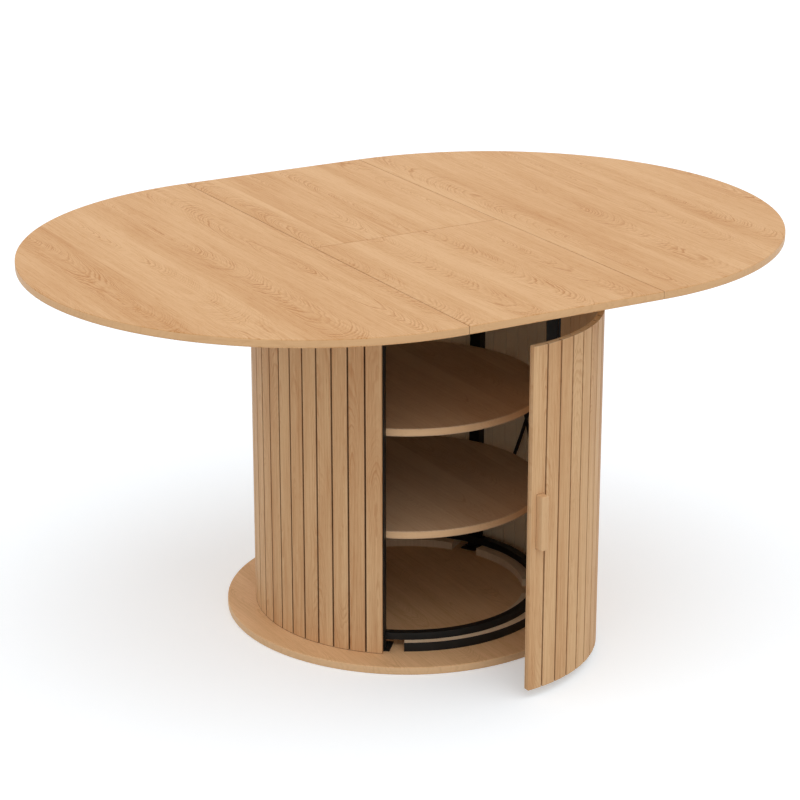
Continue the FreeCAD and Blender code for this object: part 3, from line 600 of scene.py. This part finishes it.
def cleared(owner):
    """The net of a material's or a world's emptied tree."""
    owner.use_nodes = True
    owner.node_tree.nodes.clear()
    return Net(owner.node_tree)


def new_material(name):
    """A material with an empty tree; returns the net, its Principled shader and its texture coordinates."""
    net = cleared(bpy.data.materials.new(name))
    coordinates = net.node("ShaderNodeTexCoord")
    shader = net.node("ShaderNodeBsdfPrincipled")
    shader.location = SHADER_PLACE
    out = net.node("ShaderNodeOutputMaterial")
    out.location = OUTPUT_PLACE
    net.put(out.inputs["Surface"], shader.outputs[0])
    return net, shader, coordinates.outputs


def use_group(net, name, **values):
    """An instance of a named group with some inputs set or joined; underscores stand for spaces."""
    node = net.node("ShaderNodeGroup", node_tree=bpy.data.node_groups[name])
    for label, value in values.items():
        net.put(node.inputs[label.replace("_", " ")], value)
    return node


def finish_shader(net, shader, group, bump, depth, specular=None):
    """Joins a finish group's colour, roughness and height to the shader; a height of 1 is depth metres."""
    net.put(shader.inputs["Specular IOR Level"], specular)
    net.put(shader.inputs["Base Color"], group.outputs["Color"])
    net.put(shader.inputs["Roughness"], group.outputs["Roughness"])
    node = net.node("ShaderNodeBump")
    net.put(node.inputs["Strength"], bump)
    net.put(node.inputs["Distance"], depth)
    net.put(node.inputs["Height"], group.outputs["Height"])
    net.put(shader.inputs["Normal"], node.outputs[0])


def oak_shader(net, shader, place, pair, bump, depth, specular, **figure):
    """Gives the shader the oak figure in a pair of colours, light and dark; returns the figure's colour."""
    group = use_group(net, "oak_figure", Place=place, Light=pair[0][:], Dark=pair[1][:], **figure)
    finish_shader(net, shader, group, bump=bump, depth=depth, specular=specular)
    return group.outputs["Color"]


# ---- settings ---------------------------------------------------------------------------------------


def color_setting(name, description, red, green, blue):
    color = (red, green, blue, 1.0)
    return bpy.props.FloatVectorProperty(
        name=name, description=description, default=color, subtype="COLOR", size=4, min=0.0, max=1.0
    )


def length_setting(name, description, default):
    return bpy.props.FloatProperty(name=name, description=description, default=default, unit="LENGTH")


def angle_setting(name, description, degrees):
    turn = math.radians(degrees)
    return bpy.props.FloatProperty(name=name, description=description, default=turn, subtype="ANGLE")


def strength_setting(name, description, default):
    return bpy.props.FloatProperty(name=name, description=description, default=default)


class TableFinishSettings(bpy.types.PropertyGroup):
    """Colours of the table's finishes."""

    top_light: color_setting("Top oak, light", "Early wood of the tabletop", 0.727, 0.444, 0.227)
    top_dark: color_setting("Top oak, dark", "Late wood and pores of the tabletop", 0.5, 0.222, 0.068)
    base_light: color_setting("Base oak, light", "Early wood of the base", 0.83, 0.54, 0.3)
    base_dark: color_setting("Base oak, dark", "Late wood and pores of the base", 0.58, 0.34, 0.155)
    inner_light: color_setting("Shelf oak, light", "Early wood of the shelves", 0.67, 0.48, 0.31)
    inner_dark: color_setting("Shelf oak, dark", "Late wood and pores of the shelves", 0.47, 0.28, 0.155)
    # painted light: the wall's lining is much paler than the door's lining of the same bent board, standing
    # in for light inside the drum
    lining_early_painted_light: color_setting("Lining, light", "Early wood inside the drum", 0.96, 0.78, 0.54)
    lining_late_painted_light: color_setting("Lining, dark", "Late wood and pores inside the drum", 0.85, 0.65, 0.42)
    plinth_light: color_setting("Plinth, light", "Early wood of the plinth blocks", 0.86, 0.675, 0.475)
    plinth_dark: color_setting("Plinth, dark", "Late wood and pores of the plinth blocks", 0.69, 0.51, 0.335)
    end_grain: color_setting("End grain", "Sawn ends of the door's slats", 0.66, 0.54, 0.36)
    glue: color_setting("Door glue face", "The bent board's face behind the door's slats", 0.3, 0.15, 0.07)
    # painted shade: the wall's face behind the slats is much darker than the door's same face, standing in
    # for the shade in the wall's gaps
    groove_with_painted_shade: color_setting("Wall groove", "The bent board's face behind the wall's slats", 0.11, 0.044, 0.022)
    slat_light: color_setting("Slat oak, light", "Early wood of the slats", 0.7, 0.458, 0.25)
    slat_dark: color_setting("Slat oak, dark", "Late wood and pores of the slats", 0.48, 0.231, 0.097)
    band_light: color_setting("Top band, light", "Early wood of the top's edge bands", 0.715, 0.445, 0.232)
    band_dark: color_setting("Top band, dark", "Grain of the top's edge bands", 0.56, 0.325, 0.155)
    rim_light: color_setting("Board band, light", "Early wood of the other edge bands", 0.795, 0.535, 0.308)
    rim_dark: color_setting("Board band, dark", "Grain of the other edge bands", 0.6, 0.375, 0.2)
    beech: color_setting("Batten wood", "Hidden battens and glides", 0.66, 0.46, 0.28)
    beech_dark: color_setting("Batten flecks", "Grain of the hidden battens", 0.5, 0.31, 0.17)
    coat: color_setting("Black coat", "Powder coat of the steel frame", 0.006, 0.0065, 0.006)
    zinc: color_setting("Hardware", "Plated hinges and screws", 0.62, 0.62, 0.6)
    rail: color_setting("Rail", "Drawn metal rails", 0.4, 0.41, 0.42)


class TableFittingSettings(bpy.types.PropertyGroup):
    """Sizes of the small fittings."""

    band_proud: length_setting("Band proud", "How far an edge band's crown stands out", 0.00025)
    band_depth: length_setting("Band thickness", "Thickness of an edge band", 0.0008)
    bead_radius: length_setting("Weld bead", "Radius of the weld beads at the posts' feet and heads", 0.0016)
    bead_ripple: length_setting("Bead ripple", "Length of one ripple of a weld bead", 0.0030)


class TableStudioSettings(bpy.types.PropertyGroup):
    """Light, floor and camera."""

    sky: strength_setting("Sky", "Strength of the even light all round", 0.68)
    overhead: strength_setting("Overhead", "Strength of the overhead light", 0.80)
    front: strength_setting("Front", "Strength of the low light from the front", 0.30)
    rear: strength_setting("Rear", "Strength of the light from behind on the left", 0.30)
    floor_bounce: strength_setting("Floor bounce", "How much light the floor returns to the table", 0.72)
    floor_shade: strength_setting("Floor shade", "How dark the table's shadow shows on the floor", 0.86)
    camera_place: bpy.props.FloatVectorProperty(
        name="Camera",
        description="Where the camera stands",
        default=(-2.3495, -4.0303, 2.0562),
        subtype="XYZ",
        unit="LENGTH",
    )
    camera_heading: angle_setting("Heading", "Turn of the view from +Y towards +X", 30.065)
    camera_dip: angle_setting("Dip", "Tilt of the view below level", 19.37)
    lens: bpy.props.FloatProperty(name="Lens", description="Focal length", default=115.09, unit="CAMERA")


# ---- lines and painted shade drawn on the oak -------------------------------------------------------

# a pair says where a line starts and stops fading, in metres or slats, and a shade how dark it is
SEAM_FADE = 0.0011  # outwards from a seam's edge
SEAM_SHADE = 0.62
LEAF_END = 0.001  # how far past the leaf its middle seam ends
# painted shade: near its edges each slat darkens toward the colour behind it, where it turns into a seam,
# more on the wall than on the door
SLAT_EDGE = (0.438, 0.454)  # in slats from a slat's middle
WALL_EDGE_PAINTED_SHADE = 0.50
DOOR_EDGE_PAINTED_SHADE = 0.30
# painted contact shadow along the foot of the wall's slats, where they meet the base
FOOT_SHADOW_SPAN = (0.0008, 0.0022)  # above the wall's foot
FOOT_PAINTED_SHADOW = 0.55
# painted contact shadow in a thin ring round the handle on the door's slats
HANDLE_SHADOW_SPAN = (0.0004, 0.0011)  # round the handle
HANDLE_PAINTED_SHADOW = 0.75
GLUE_FACE = 0.0006  # inwards from CARRIER_RADIUS
SAW_CUT = (0.468, 0.484)  # in slats from a slat's middle
SAW_CUT_SHADE = 0.2
# painted shade: the wall's bent boards turn near-black toward their ends by the doorway
WALL_END_SHADE_SPAN = (0.07, 0.11)  # in slats from the end of the door
WALL_END_PAINTED_SHADE = (0.05, 0.025, 0.012, 1.0)
SAWN_END = (0.0006, 0.0003)  # short of a part's top and bottom
SAWN_SHADE = 0.8


def closed_door(net, vector):
    """Turns the standing door's coordinates back about the hinge pin, to where the door is closed."""
    shift = turned(-HINGE_PIN[None], -DOOR_SWING)[0] + HINGE_PIN
    node = net.node("ShaderNodeMapping")
    net.put(node.inputs["Vector"], vector)
    net.put(node.inputs["Location"], tuple(shift))
    net.put(node.inputs["Rotation"], (0.0, 0.0, -DOOR_SWING))
    return node.outputs[0]


def board_seams(net, vector):
    """The dark lines at |x| = half the leaf's width, where the halves meet it, and at y = 0 on the leaf."""
    x, y = (net.math("ABSOLUTE", part) for part in net.split(vector)[:2])
    middle = net.math("MAXIMUM", y, net.ramp(x, LEAF_HALF, LEAF_HALF + LEAF_END))
    nearest = net.math("MINIMUM", net.gap(x, LEAF_HALF), middle)
    return net.ramp(nearest, SEAM, SEAM + SEAM_FADE, SEAM_SHADE, 0.0)


def sawn_end(net, vector, node):
    """How strongly the sawn wood shows: on the top and bottom faces of a part, and nowhere between them."""
    low, high = (corner.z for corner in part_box(node))
    half = (high - low) / 2
    offset = net.gap(net.split(vector)["Z"], (low + high) / 2)
    return net.ramp(offset, half - SAWN_END[0], half - SAWN_END[1], 0.0, SAWN_SHADE)


def beyond_handle(net, vector):
    """How far a point of the closed door lies outside the handle's outline, negative under the handle."""
    x, y, z = net.split(vector)
    c, s = math.cos(HANDLE_ANGLE), math.sin(HANDLE_ANGLE)
    tangent = net.math("MULTIPLY_ADD", x, c, net.math("MULTIPLY", y, s))
    sideways = net.math("SUBTRACT", net.math("ABSOLUTE", tangent), HANDLE_HALF_WIDTH)
    upwards = net.math("SUBTRACT", net.gap(z, HANDLE_HEIGHT), HANDLE_HALF_LENGTH)
    return net.math("MAXIMUM", sideways, upwards)


# ---- operators --------------------------------------------------------------------------------------


class TABLE_OT_finishes(bpy.types.Operator):
    """Make the oak, coat and metal finishes and give them to the table's parts"""

    bl_idname = "table.finishes"
    bl_label = "Finishes"

    def execute(self, context):
        colors = context.scene.table_finish
        for build in (
            board_strips_group,
            slat_wrap_group,
            oak_figure_group,
            powder_coat_group,
            brushed_metal_group,
        ):
            build()

        top = (colors.top_light, colors.top_dark)
        base = (colors.base_light, colors.base_dark)
        inner = (colors.inner_light, colors.inner_dark)
        plinth = (colors.plinth_light, colors.plinth_dark)
        plinth_blocks = "plinth_front plinth_right plinth_back_right plinth_back_left plinth_left"
        boards = {
            # material: nodes, seed, colours, strength of the rings' lines
            "oak_top_left": ("top_left", 3.0, top, 0.84),
            "oak_top_right": ("top_right", 17.0, top, 0.84),
            "oak_leaf_front": ("leaf_front", 41.0, top, 0.84),
            "oak_leaf_back": ("leaf_back", 67.0, top, 0.84),
            "oak_base": ("base_plate drum_cap", 90.0, base, 0.52),
            "oak_shelf": ("shelf_middle shelf_upper", 120.0, inner, 0.45),
            "oak_plinth": (plinth_blocks, 150.0, plinth, 0.45),
        }
        for name, (nodes, seed, pair, lines) in boards.items():
            self.board_oak(name, seed, pair, lines, colors.glue if pair is top else None)
            self.give(name, nodes.split())
        slats = (colors.slat_light, colors.slat_dark)
        walls = ["wall_slats_right", "wall_slats_back_right", "wall_slats_back_left", "wall_slats_left"]
        self.slat_oak("oak_wall_slats", 200.0, slats, colors.groove_with_painted_shade)
        self.give("oak_wall_slats", walls)
        self.slat_oak("oak_door_slats", 300.0, slats, colors.glue, colors.end_grain)
        self.give("oak_door_slats", ["door_slats"])
        # painted light: the wall's lining is paler than the door's, which keeps the slats' colours
        self.lining("oak_wall_lining", (colors.lining_early_painted_light, colors.lining_late_painted_light), colors.groove_with_painted_shade)
        self.give("oak_wall_lining", [name.replace("slats", "backing") for name in walls])
        self.lining("oak_door_lining", slats, colors.glue, colors.end_grain)
        self.give("oak_door_lining", ["door_backing"])
        self.handle_oak("oak_handle", slats)
        self.give("oak_handle", ["door_handle"])
        self.band("oak_top_band", (colors.band_light, colors.band_dark))
        self.band("oak_rim_band", (colors.rim_light, colors.rim_dark))
        self.batten("beech_batten", (colors.beech, colors.beech_dark))
        self.give("beech_batten", ["glide_strip_front", "glide_strip_back", "bearers_left", "bearers_right"])

        self.coat("black_coat", colors.coat, roughness=0.42)
        posts = ["post_hinge", "post_back_right", "post_back", "post_back_left", "post_latch"]
        braces = ["cross_brace_right", "cross_brace_back_right", "cross_brace_back_left", "cross_brace_left"]
        frame_parts = ["bottom_ring", "top_ring", "foot_plates", "head_plates", "threshold_strip"]
        fittings = ["shelf_brackets_middle", "shelf_brackets_upper"]
        fittings += ["hinge_leaves_fixed", "hinge_leaves_door", "hinge_pins"]
        self.give("black_coat", posts + braces + frame_parts + fittings)
        self.coat("black_nylon", NYLON_BLACK, roughness=0.55)
        self.give("black_nylon", ["magnet_catch"])
        self.metal("drawn_rail", colors.rail, roughness=0.45)
        self.give("drawn_rail", ["track_front", "track_back", "slide_bars_left", "slide_bars_right"])
        self.metal("plated_hardware", colors.zinc, roughness=0.28)
        hardware = ["catch_plate", "leaf_hinges_front", "leaf_hinges_back"]
        hardware += ["shelf_screws_middle", "shelf_screws_upper"]
        self.give("plated_hardware", hardware + ["handle_screws", "track_screws"])
        return {"FINISHED"}

    @staticmethod
    def give(material, nodes):
        """Puts a finish on the table's own parts."""
        for name in nodes:
            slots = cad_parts[name].data.materials
            slots.clear()
            slots.append(bpy.data.materials[material])

    @staticmethod
    def board_oak(name, seed, pair, lines, seam_color):
        """Oak in veneer strips; with a colour for the seams, the lines between the top's boards too."""
        net, shader, coordinates = new_material(name)
        strips = use_group(net, "board_strips", Vector=coordinates["Object"], Strip_Width=0.112, Seed=seed)
        color = oak_shader(
            net, shader, strips.outputs["Place"], pair, bump=0.10, depth=0.0003, specular=0.05,
            Ring_Spacing=0.0027, Tilt=0.20, Line_Strength=lines, Pore_Strength=0.42, Tone_Spread=0.12,
            Streak_Strength=1.5,
        )
        if seam_color is not None:
            color = net.blend(board_seams(net, coordinates["Object"]), color, seam_color[:])
            net.put(shader.inputs["Base Color"], color)

    @staticmethod
    def slat_oak(name, seed, pair, behind, end_grain=None):
        """Oak for the slats of the wall or, with a colour for their sawn ends, of the door."""
        net, shader, coordinates = new_material(name)
        on_door = end_grain is not None
        vector = closed_door(net, coordinates["Object"]) if on_door else coordinates["Object"]
        wrap = use_group(net, "slat_wrap", Vector=vector, Seed=seed)
        color = oak_shader(
            net, shader, wrap.outputs["Place"], pair, bump=0.14, depth=0.0003, specular=0.04,
            Ring_Spacing=0.0034, Tilt=0.09, Line_Strength=0.50, Pore_Strength=0.40, Tone_Spread=0.36,
            Streak_Strength=2.1,
        )
        # painted shade on the slats' edges beside the seams
        edge_painted_shade = DOOR_EDGE_PAINTED_SHADE if on_door else WALL_EDGE_PAINTED_SHADE
        edge = net.ramp(wrap.outputs["Edge"], *SLAT_EDGE, 0.0, edge_painted_shade)
        if on_door:
            # painted contact shadow round the handle
            line = net.ramp(beyond_handle(net, vector), *HANDLE_SHADOW_SPAN, HANDLE_PAINTED_SHADOW, 0.0)
        else:
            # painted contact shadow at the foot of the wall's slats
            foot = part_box("wall_slats_left")[0].z
            line = net.ramp(net.split(vector)["Z"], foot + FOOT_SHADOW_SPAN[0], foot + FOOT_SHADOW_SPAN[1], FOOT_PAINTED_SHADOW, 0.0)
        color = net.blend(net.math("MAXIMUM", edge, line), color, behind[:])
        if on_door:
            color = net.blend(sawn_end(net, vector, "door_slats"), color, end_grain[:])
        net.put(shader.inputs["Base Color"], color)

    @staticmethod
    def lining(name, pair, behind, end_grain=None):
        """Veneer of the bent boards of the wall, with painted shade at their ends by the doorway, or, with a
        colour for its sawn edges, of the door.
        """
        net, shader, coordinates = new_material(name)
        on_door = end_grain is not None
        vector = closed_door(net, coordinates["Object"]) if on_door else coordinates["Object"]
        wrap = use_group(net, "slat_wrap", Vector=vector, Seed=400.0)
        across, along, number = net.split(wrap.outputs["Place"])
        around = net.math("MULTIPLY_ADD", number, SLAT_PITCH * DRUM_RADIUS, across)
        place = net.join(around, along, LINING_NUMBER)
        color = oak_shader(
            net, shader, place, pair, bump=0.10, depth=0.0003, specular=0.03,
            Ring_Spacing=0.006, Line_Strength=0.3, Pore_Strength=0.35,
        )
        x, y = net.split(vector)[:2]
        # the board's outer face and its saw cuts take the colour behind the slats, which on the wall holds
        # painted shade
        outer = net.ramp(net.hypotenuse(x, y), CARRIER_RADIUS - GLUE_FACE, CARRIER_RADIUS)
        cut = net.ramp(wrap.outputs["Edge"], *SAW_CUT, 0.0, SAW_CUT_SHADE)
        color = net.blend(net.math("MAXIMUM", outer, cut), color, behind[:])
        if on_door:
            color = net.blend(sawn_end(net, vector, "door_backing"), color, end_grain[:])
        else:
            # painted shade on the wall boards' ends by the doorway
            color = net.blend(net.ramp(wrap.outputs["End"], *WALL_END_SHADE_SPAN, 1.0, 0.0), color, WALL_END_PAINTED_SHADE)
        net.put(shader.inputs["Base Color"], color)

    @staticmethod
    def handle_oak(name, pair):
        """Oak that runs up the handle."""
        net, shader, coordinates = new_material(name)
        x, y, z = net.split(coordinates["Object"])
        place = net.join(net.math("ADD", x, y), z, HANDLE_NUMBER)
        oak_shader(
            net, shader, place, pair, bump=0.2, depth=0.0004, specular=0.12,
            Ring_Spacing=0.0026, Line_Strength=0.35, Tone_Spread=0.0,
        )

    @staticmethod
    def band(name, pair):
        """Oak veneer that runs along the edge bands, by their own texture coordinates."""
        net, shader, coordinates = new_material(name)
        along, around = net.split(coordinates["UV"])[:2]
        place = net.join(around, along, BAND_NUMBER)
        oak_shader(
            net, shader, place, pair, bump=0.2, depth=0.0003, specular=0.10,
            Ring_Spacing=0.003, Line_Strength=0.35, Pore_Strength=0.35, Tone_Spread=0.0,
        )

    @staticmethod
    def batten(name, pair):
        """Plain wood whose grain runs along y."""
        net, shader, coordinates = new_material(name)
        x, y, z = net.split(coordinates["Object"])
        place = net.join(net.math("ADD", x, z), y, BATTEN_NUMBER)
        oak_shader(
            net, shader, place, pair, bump=0.3, depth=0.0004, specular=0.25,
            Ring_Spacing=0.004, Line_Strength=0.25, Pore_Strength=0.3,
        )

    @staticmethod
    def coat(name, color, roughness):
        """Powder-coated steel, or plastic with the same fine pebbling."""
        net, shader, coordinates = new_material(name)
        vector = coordinates["Object"]
        group = use_group(net, "powder_coat", Vector=vector, Roughness=roughness, Color=color[:])
        finish_shader(net, shader, group, bump=0.15, depth=0.0003, specular=0.28)

    @staticmethod
    def metal(name, color, roughness):
        """Bare or plated metal, brushed along x."""
        net, shader, coordinates = new_material(name)
        vector = coordinates["Object"]
        group = use_group(net, "brushed_metal", Vector=vector, Roughness=roughness, Color=color[:])
        net.put(shader.inputs["Metallic"], 1.0)
        finish_shader(net, shader, group, bump=0.1, depth=0.0002)


ROUND_POINTS = 241  # round an edge band that goes all the way
HALF_ROUND_POINTS = 181
LEAF_POINTS = 25


class TABLE_OT_edge_bands(bpy.types.Operator):
    """Wrap thin crowned edge bands round the boards"""

    bl_idname = "table.edge_bands"
    bl_label = "Edge bands"

    def execute(self, context):
        sizes = context.scene.table_fittings
        top_low, top_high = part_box("top_left")

        def profile(low, high):
            return band_profile(sizes.band_depth, sizes.band_proud, low + BAND_MARGIN, high - BAND_MARGIN)

        edge = profile(top_low.z, top_high.z)
        reach = math.asin(SEAM / TOP_RADIUS)
        for name, side, turn in (("left", -1, math.pi), ("right", 1, 0.0)):
            start, end = turn + reach, turn + math.pi - reach
            path, out = arc(TOP_RADIUS, side * LEAF_HALF, start, end, HALF_ROUND_POINTS)
            strip = swept(path, out, edge, False)
            self.band("edge_band_" + name, [strip], "top_" + name + "_half", "top_oak")
        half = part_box("leaf_front")[1].x
        for name, side, body in (("front", -1, "leaf_front_board"), ("back", 1, "leaf_back_board")):
            x = np.linspace(-half, half, LEAF_POINTS)
            path = np.stack([x, np.full_like(x, side * TOP_RADIUS), np.zeros_like(x)], axis=1)
            out = np.tile((0.0, float(side), 0.0), (len(x), 1))
            self.band("edge_band_leaf_" + name, [swept(path, out, edge, False)], body, "top_oak")
        for node in ("base_plate", "shelf_middle", "shelf_upper", "drum_cap"):
            low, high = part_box(node)
            path, out = arc(high.x, 0.0, 0, 2 * math.pi, ROUND_POINTS)
            ring = swept(path[:-1], out[:-1], profile(low.z, high.z), True)
            slot = "shelf_oak" if node.startswith("shelf") else "base_oak"
            self.band("edge_band_" + node, [ring], "pedestal", slot)
        return {"FINISHED"}

    @staticmethod
    def band(name, shells, body, slot):
        """An edge band in the finish of the top or of the other boards."""
        add_piece(name, shells, body, "oak_top_band" if slot == "top_oak" else "oak_rim_band")


class TABLE_OT_screws(bpy.types.Operator):
    """Turn cross-recessed screws for the shelves, rails and handle"""

    bl_idname = "table.screws"
    bl_label = "Screws"

    def execute(self, context):
        screw = cross_screw(
            head_radius=0.0038, dome=0.0009, head_depth=0.0013, shank_radius=0.002, length=0.013
        )
        for level in ("middle", "upper"):
            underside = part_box("shelf_" + level)[0].z
            angles = POST_ANGLES if level == "middle" else POST_ANGLES + brace_ends(underside)
            seat = UP * (underside - BRACKET_THICKNESS)
            shells = [placed(screw, UP, radial(angle) * BRACKET_SCREW_RADIUS + seat) for angle in angles]
            self.drive("shelf_screws_" + level, shells, "pedestal")

        screw = cross_screw(
            head_radius=0.0049, dome=0.0008, head_depth=0.0015, shank_radius=0.0025, length=0.0145
        )
        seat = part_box("track_screws")[0].z + TRACK_SCREW_HEAD
        shells = [
            placed(screw, UP, (x, side * TRACK_HALF_SPACING + row * TRACK_SCREW_OFFSET, seat))
            for x in TRACK_SCREW_PLACES for side in (-1, 1) for row in (-1, 1)
        ]
        self.drive("track_screws", shells, "pedestal")

        screw = cross_screw(
            head_radius=0.004, dome=0.0008, head_depth=0.0011, shank_radius=0.002, length=0.0195
        )
        outwards = radial(HANDLE_ANGLE)
        shells = []
        for height in (HANDLE_HEIGHT - HANDLE_SCREW_REACH, HANDLE_HEIGHT + HANDLE_SCREW_REACH):
            points, faces, coords = placed(screw, outwards, outwards * LINING_RADIUS + UP * height)
            shells.append((swung(points), faces, coords))
        self.drive("handle_screws", shells, "door")
        return {"FINISHED"}

    @staticmethod
    def drive(node, shells, body):
        """Puts cross-recessed screws in the place of a node's plain ones."""
        piece = add_piece("cross_" + node, shells, body, "plated_hardware")
        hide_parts(node)


def brace_ends(underside):
    """Angles at which the crossed bars end under a shelf.

    In each bay the bars rise reach * slope from the posts to their crossing, reach = R sin(half the bay), and
    on by the same slope to the shelf: sin(angle from the middle) = (underside - crossing) / slope / R.
    """
    angles = []
    for start, end in zip(POST_ANGLES, POST_ANGLES[1:]):
        half = (end - start) / 2 - math.asin((POST_HALF_WIDTH + BRACE_PLAY) / BRACE_INNER)
        slope = (BRACE_CROSSING - BRACE_FOOT) / (BRACE_OUTER * math.sin(half))
        offset = math.asin((underside - BRACE_CROSSING) / slope / BRACE_OUTER)
        angles += [(start + end) / 2 - offset, (start + end) / 2 + offset]
    return angles


class TABLE_OT_weld_beads(bpy.types.Operator):
    """Lay rippled weld beads round the posts' feet and heads"""

    bl_idname = "table.weld_beads"
    bl_label = "Weld beads"

    def execute(self, context):
        sizes = context.scene.table_fittings
        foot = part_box("foot_plates")[1].z
        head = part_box("head_plates")[0].z
        shells = [self.bead(angle, z, sizes) for angle in POST_ANGLES for z in (foot, head)]
        add_piece("weld_beads", shells, "pedestal", "black_coat")
        return {"FINISHED"}

    @staticmethod
    def bead(angle, z, sizes):
        """A tube round three sides of a post.

        At length s its radius is bead * (1 + swell * sin(2 pi s / ripple)), and each ring of points is
        radius * (cos a * out + sin a * up) round a point of the path.
        """
        w, near, far = POST_HALF_WIDTH, -POST_INNER, -POST_OUTER + BEAD_STOP
        corners = np.array(((-w, far), (-w, near), (w, near), (w, far)))
        lengths = lengths_along(corners)
        s = np.linspace(0, lengths[-1], BEAD_RINGS)
        path = np.column_stack([np.interp(s, lengths, side) for side in corners.T] + [np.full(len(s), z)])
        ahead = np.gradient(path, axis=0)
        ahead /= np.linalg.norm(ahead, axis=1)[:, None]
        out = np.stack([-ahead[:, 1], ahead[:, 0], np.zeros(len(s))], axis=1)
        radius = sizes.bead_radius * (1 + BEAD_SWELL * np.sin(2 * math.pi * s / sizes.bead_ripple))
        a = np.linspace(0, 2 * math.pi, BEAD_SIDES, endpoint=False)
        ring = np.cos(a)[:, None] * out[:, None] + np.sin(a)[:, None] * UP
        points = path[:, None] + radius[:, None, None] * ring
        coords = grid_coordinates(s, a * sizes.bead_radius)
        return turned(points.reshape(-1, 3), angle), tube_faces(len(s), BEAD_SIDES), coords


# each lamp's tilt from straight overhead, its heading and its spread, in degrees
LAMPS = {"overhead": (20, 10, 65), "rear": (50, -118, 50), "front": (68, -10, 50)}
WHITE = (1.0, 1.0, 1.0, 1.0)
FLOOR_RADIUS = 16.0
FLOOR_START = 0.1  # q at the floor's innermost ring
FLOOR_DROP = 0.0003  # keeps the floor's face clear of the base's
FLOOR_RINGS = 12
FLOOR_SIDES = 96
FLOOR_TINT = (0.96, 1.02, 1.07)
FLOOR_SUM = 1.14  # the shaded floor's colour and its own light together


class TABLE_OT_studio(bpy.types.Operator):
    """Set out the pale floor, the soft light and the camera"""

    bl_idname = "table.studio"
    bl_label = "Studio"

    def execute(self, context):
        studio = context.scene.table_studio
        scene = context.scene
        self.floor(studio)
        self.world(scene, studio)
        for name, (tilt, heading, spread) in LAMPS.items():
            lamp = new_object(name, bpy.data.lights.new(name, "SUN"))
            lamp.data.energy = getattr(studio, name)
            lamp.data.angle = math.radians(spread)
            lamp.rotation_euler = (math.radians(tilt), 0.0, math.radians(heading))

        camera = new_object("camera", bpy.data.cameras.new("camera"))
        camera.data.sensor_fit = "HORIZONTAL"
        camera.data.sensor_width = 36.0
        camera.data.lens = studio.lens
        camera.data.clip_end = 200.0
        camera.location = studio.camera_place
        camera.rotation_euler = (math.pi / 2 - studio.camera_dip, 0.0, -studio.camera_heading)
        scene.camera = camera
        scene.view_settings.view_transform = "Standard"
        return {"FINISHED"}

    @staticmethod
    def seen(net):
        """1 for camera, mirror and see-through rays, 0 for the rays that carry light."""
        path = net.node("ShaderNodeLightPath")
        seen = net.math("MAXIMUM", path.outputs["Is Camera Ray"], path.outputs["Is Glossy Ray"])
        return net.math("MAXIMUM", seen, path.outputs["Is Transmission Ray"])

    def floor(self, studio):
        """A level disc just under the base: rings of points at growing radii, r = radius * q^2."""
        radii = FLOOR_RADIUS * np.linspace(FLOOR_START, 1.0, FLOOR_RINGS) ** 2
        a = np.linspace(0, 2 * math.pi, FLOOR_SIDES, endpoint=False)
        x, y = radii[:, None] * np.cos(a), radii[:, None] * np.sin(a)
        points = np.stack([x, y, np.full_like(x, -FLOOR_DROP)], axis=-1).reshape(-1, 3)
        faces = grid_faces(len(radii), len(a), False, True)[:, ::-1].tolist() + [list(range(len(a)))]
        mesh = bpy.data.meshes.new("studio_floor")
        mesh.from_pydata(points.tolist(), [], faces)
        floor = new_object("studio_floor", mesh)

        material = bpy.data.materials.new("studio_floor")
        net = cleared(material)
        tint = tuple(studio.floor_shade * share for share in FLOOR_TINT) + (1.0,)
        bounce = net.made("ShaderNodeBsdfDiffuse", ((studio.floor_bounce,) * 3 + (1.0,),))
        shade = net.made("ShaderNodeBsdfDiffuse", (tint,))
        lift = net.made("ShaderNodeEmission", (WHITE, FLOOR_SUM - studio.floor_shade))
        both = net.made("ShaderNodeAddShader", (shade, lift))
        choose = net.made("ShaderNodeMixShader", (self.seen(net), bounce, both))
        out = net.node("ShaderNodeOutputMaterial")
        net.put(out.inputs["Surface"], choose)
        mesh.materials.append(material)

    def world(self, scene, studio):
        """An even white sky that lights the table less than it shows."""
        scene.world = bpy.data.worlds.new("studio_sky")
        net = cleared(scene.world)
        light = net.made("ShaderNodeBackground", (WHITE, studio.sky))
        white = net.made("ShaderNodeBackground", (WHITE, 1.0))
        choose = net.made("ShaderNodeMixShader", (self.seen(net), light, white))
        out = net.node("ShaderNodeOutputWorld")
        net.put(out.inputs["Surface"], choose)


class TABLE_PT_panel(bpy.types.Panel):
    """Lists the table's settings and steps"""

    bl_label = "Drum cabinet table"
    bl_idname = "TABLE_PT_panel"
    bl_space_type = "VIEW_3D"
    bl_region_type = "UI"
    bl_category = "Table"

    def draw(self, context):
        layout = self.layout
        for group in (context.scene.table_finish, context.scene.table_fittings, context.scene.table_studio):
            box = layout.box()
            for name in group.__annotations__:
                box.prop(group, name)
        for step in STEPS:
            layout.operator(step.bl_idname)


# ---- registration -----------------------------------------------------------------------------------

STEPS = (TABLE_OT_finishes, TABLE_OT_edge_bands, TABLE_OT_screws, TABLE_OT_weld_beads, TABLE_OT_studio)
SETTINGS = {
    "table_finish": TableFinishSettings,
    "table_fittings": TableFittingSettings,
    "table_studio": TableStudioSettings,
}


def register():
    for cls in (*SETTINGS.values(), *STEPS, TABLE_PT_panel):
        bpy.utils.register_class(cls)
    for name, cls in SETTINGS.items():
        setattr(bpy.types.Scene, name, bpy.props.PointerProperty(type=cls))


def unregister():
    for name in SETTINGS:
        delattr(bpy.types.Scene, name)
    for cls in (TABLE_PT_panel, *reversed(STEPS), *SETTINGS.values()):
        bpy.utils.unregister_class(cls)


def main():
    register()
    bpy.ops.table.finishes()
    bpy.ops.table.edge_bands()
    bpy.ops.table.screws()
    bpy.ops.table.weld_beads()
    bpy.ops.table.studio()
    bpy.context.view_layer.update()


if __name__ == "__main__":
    main()
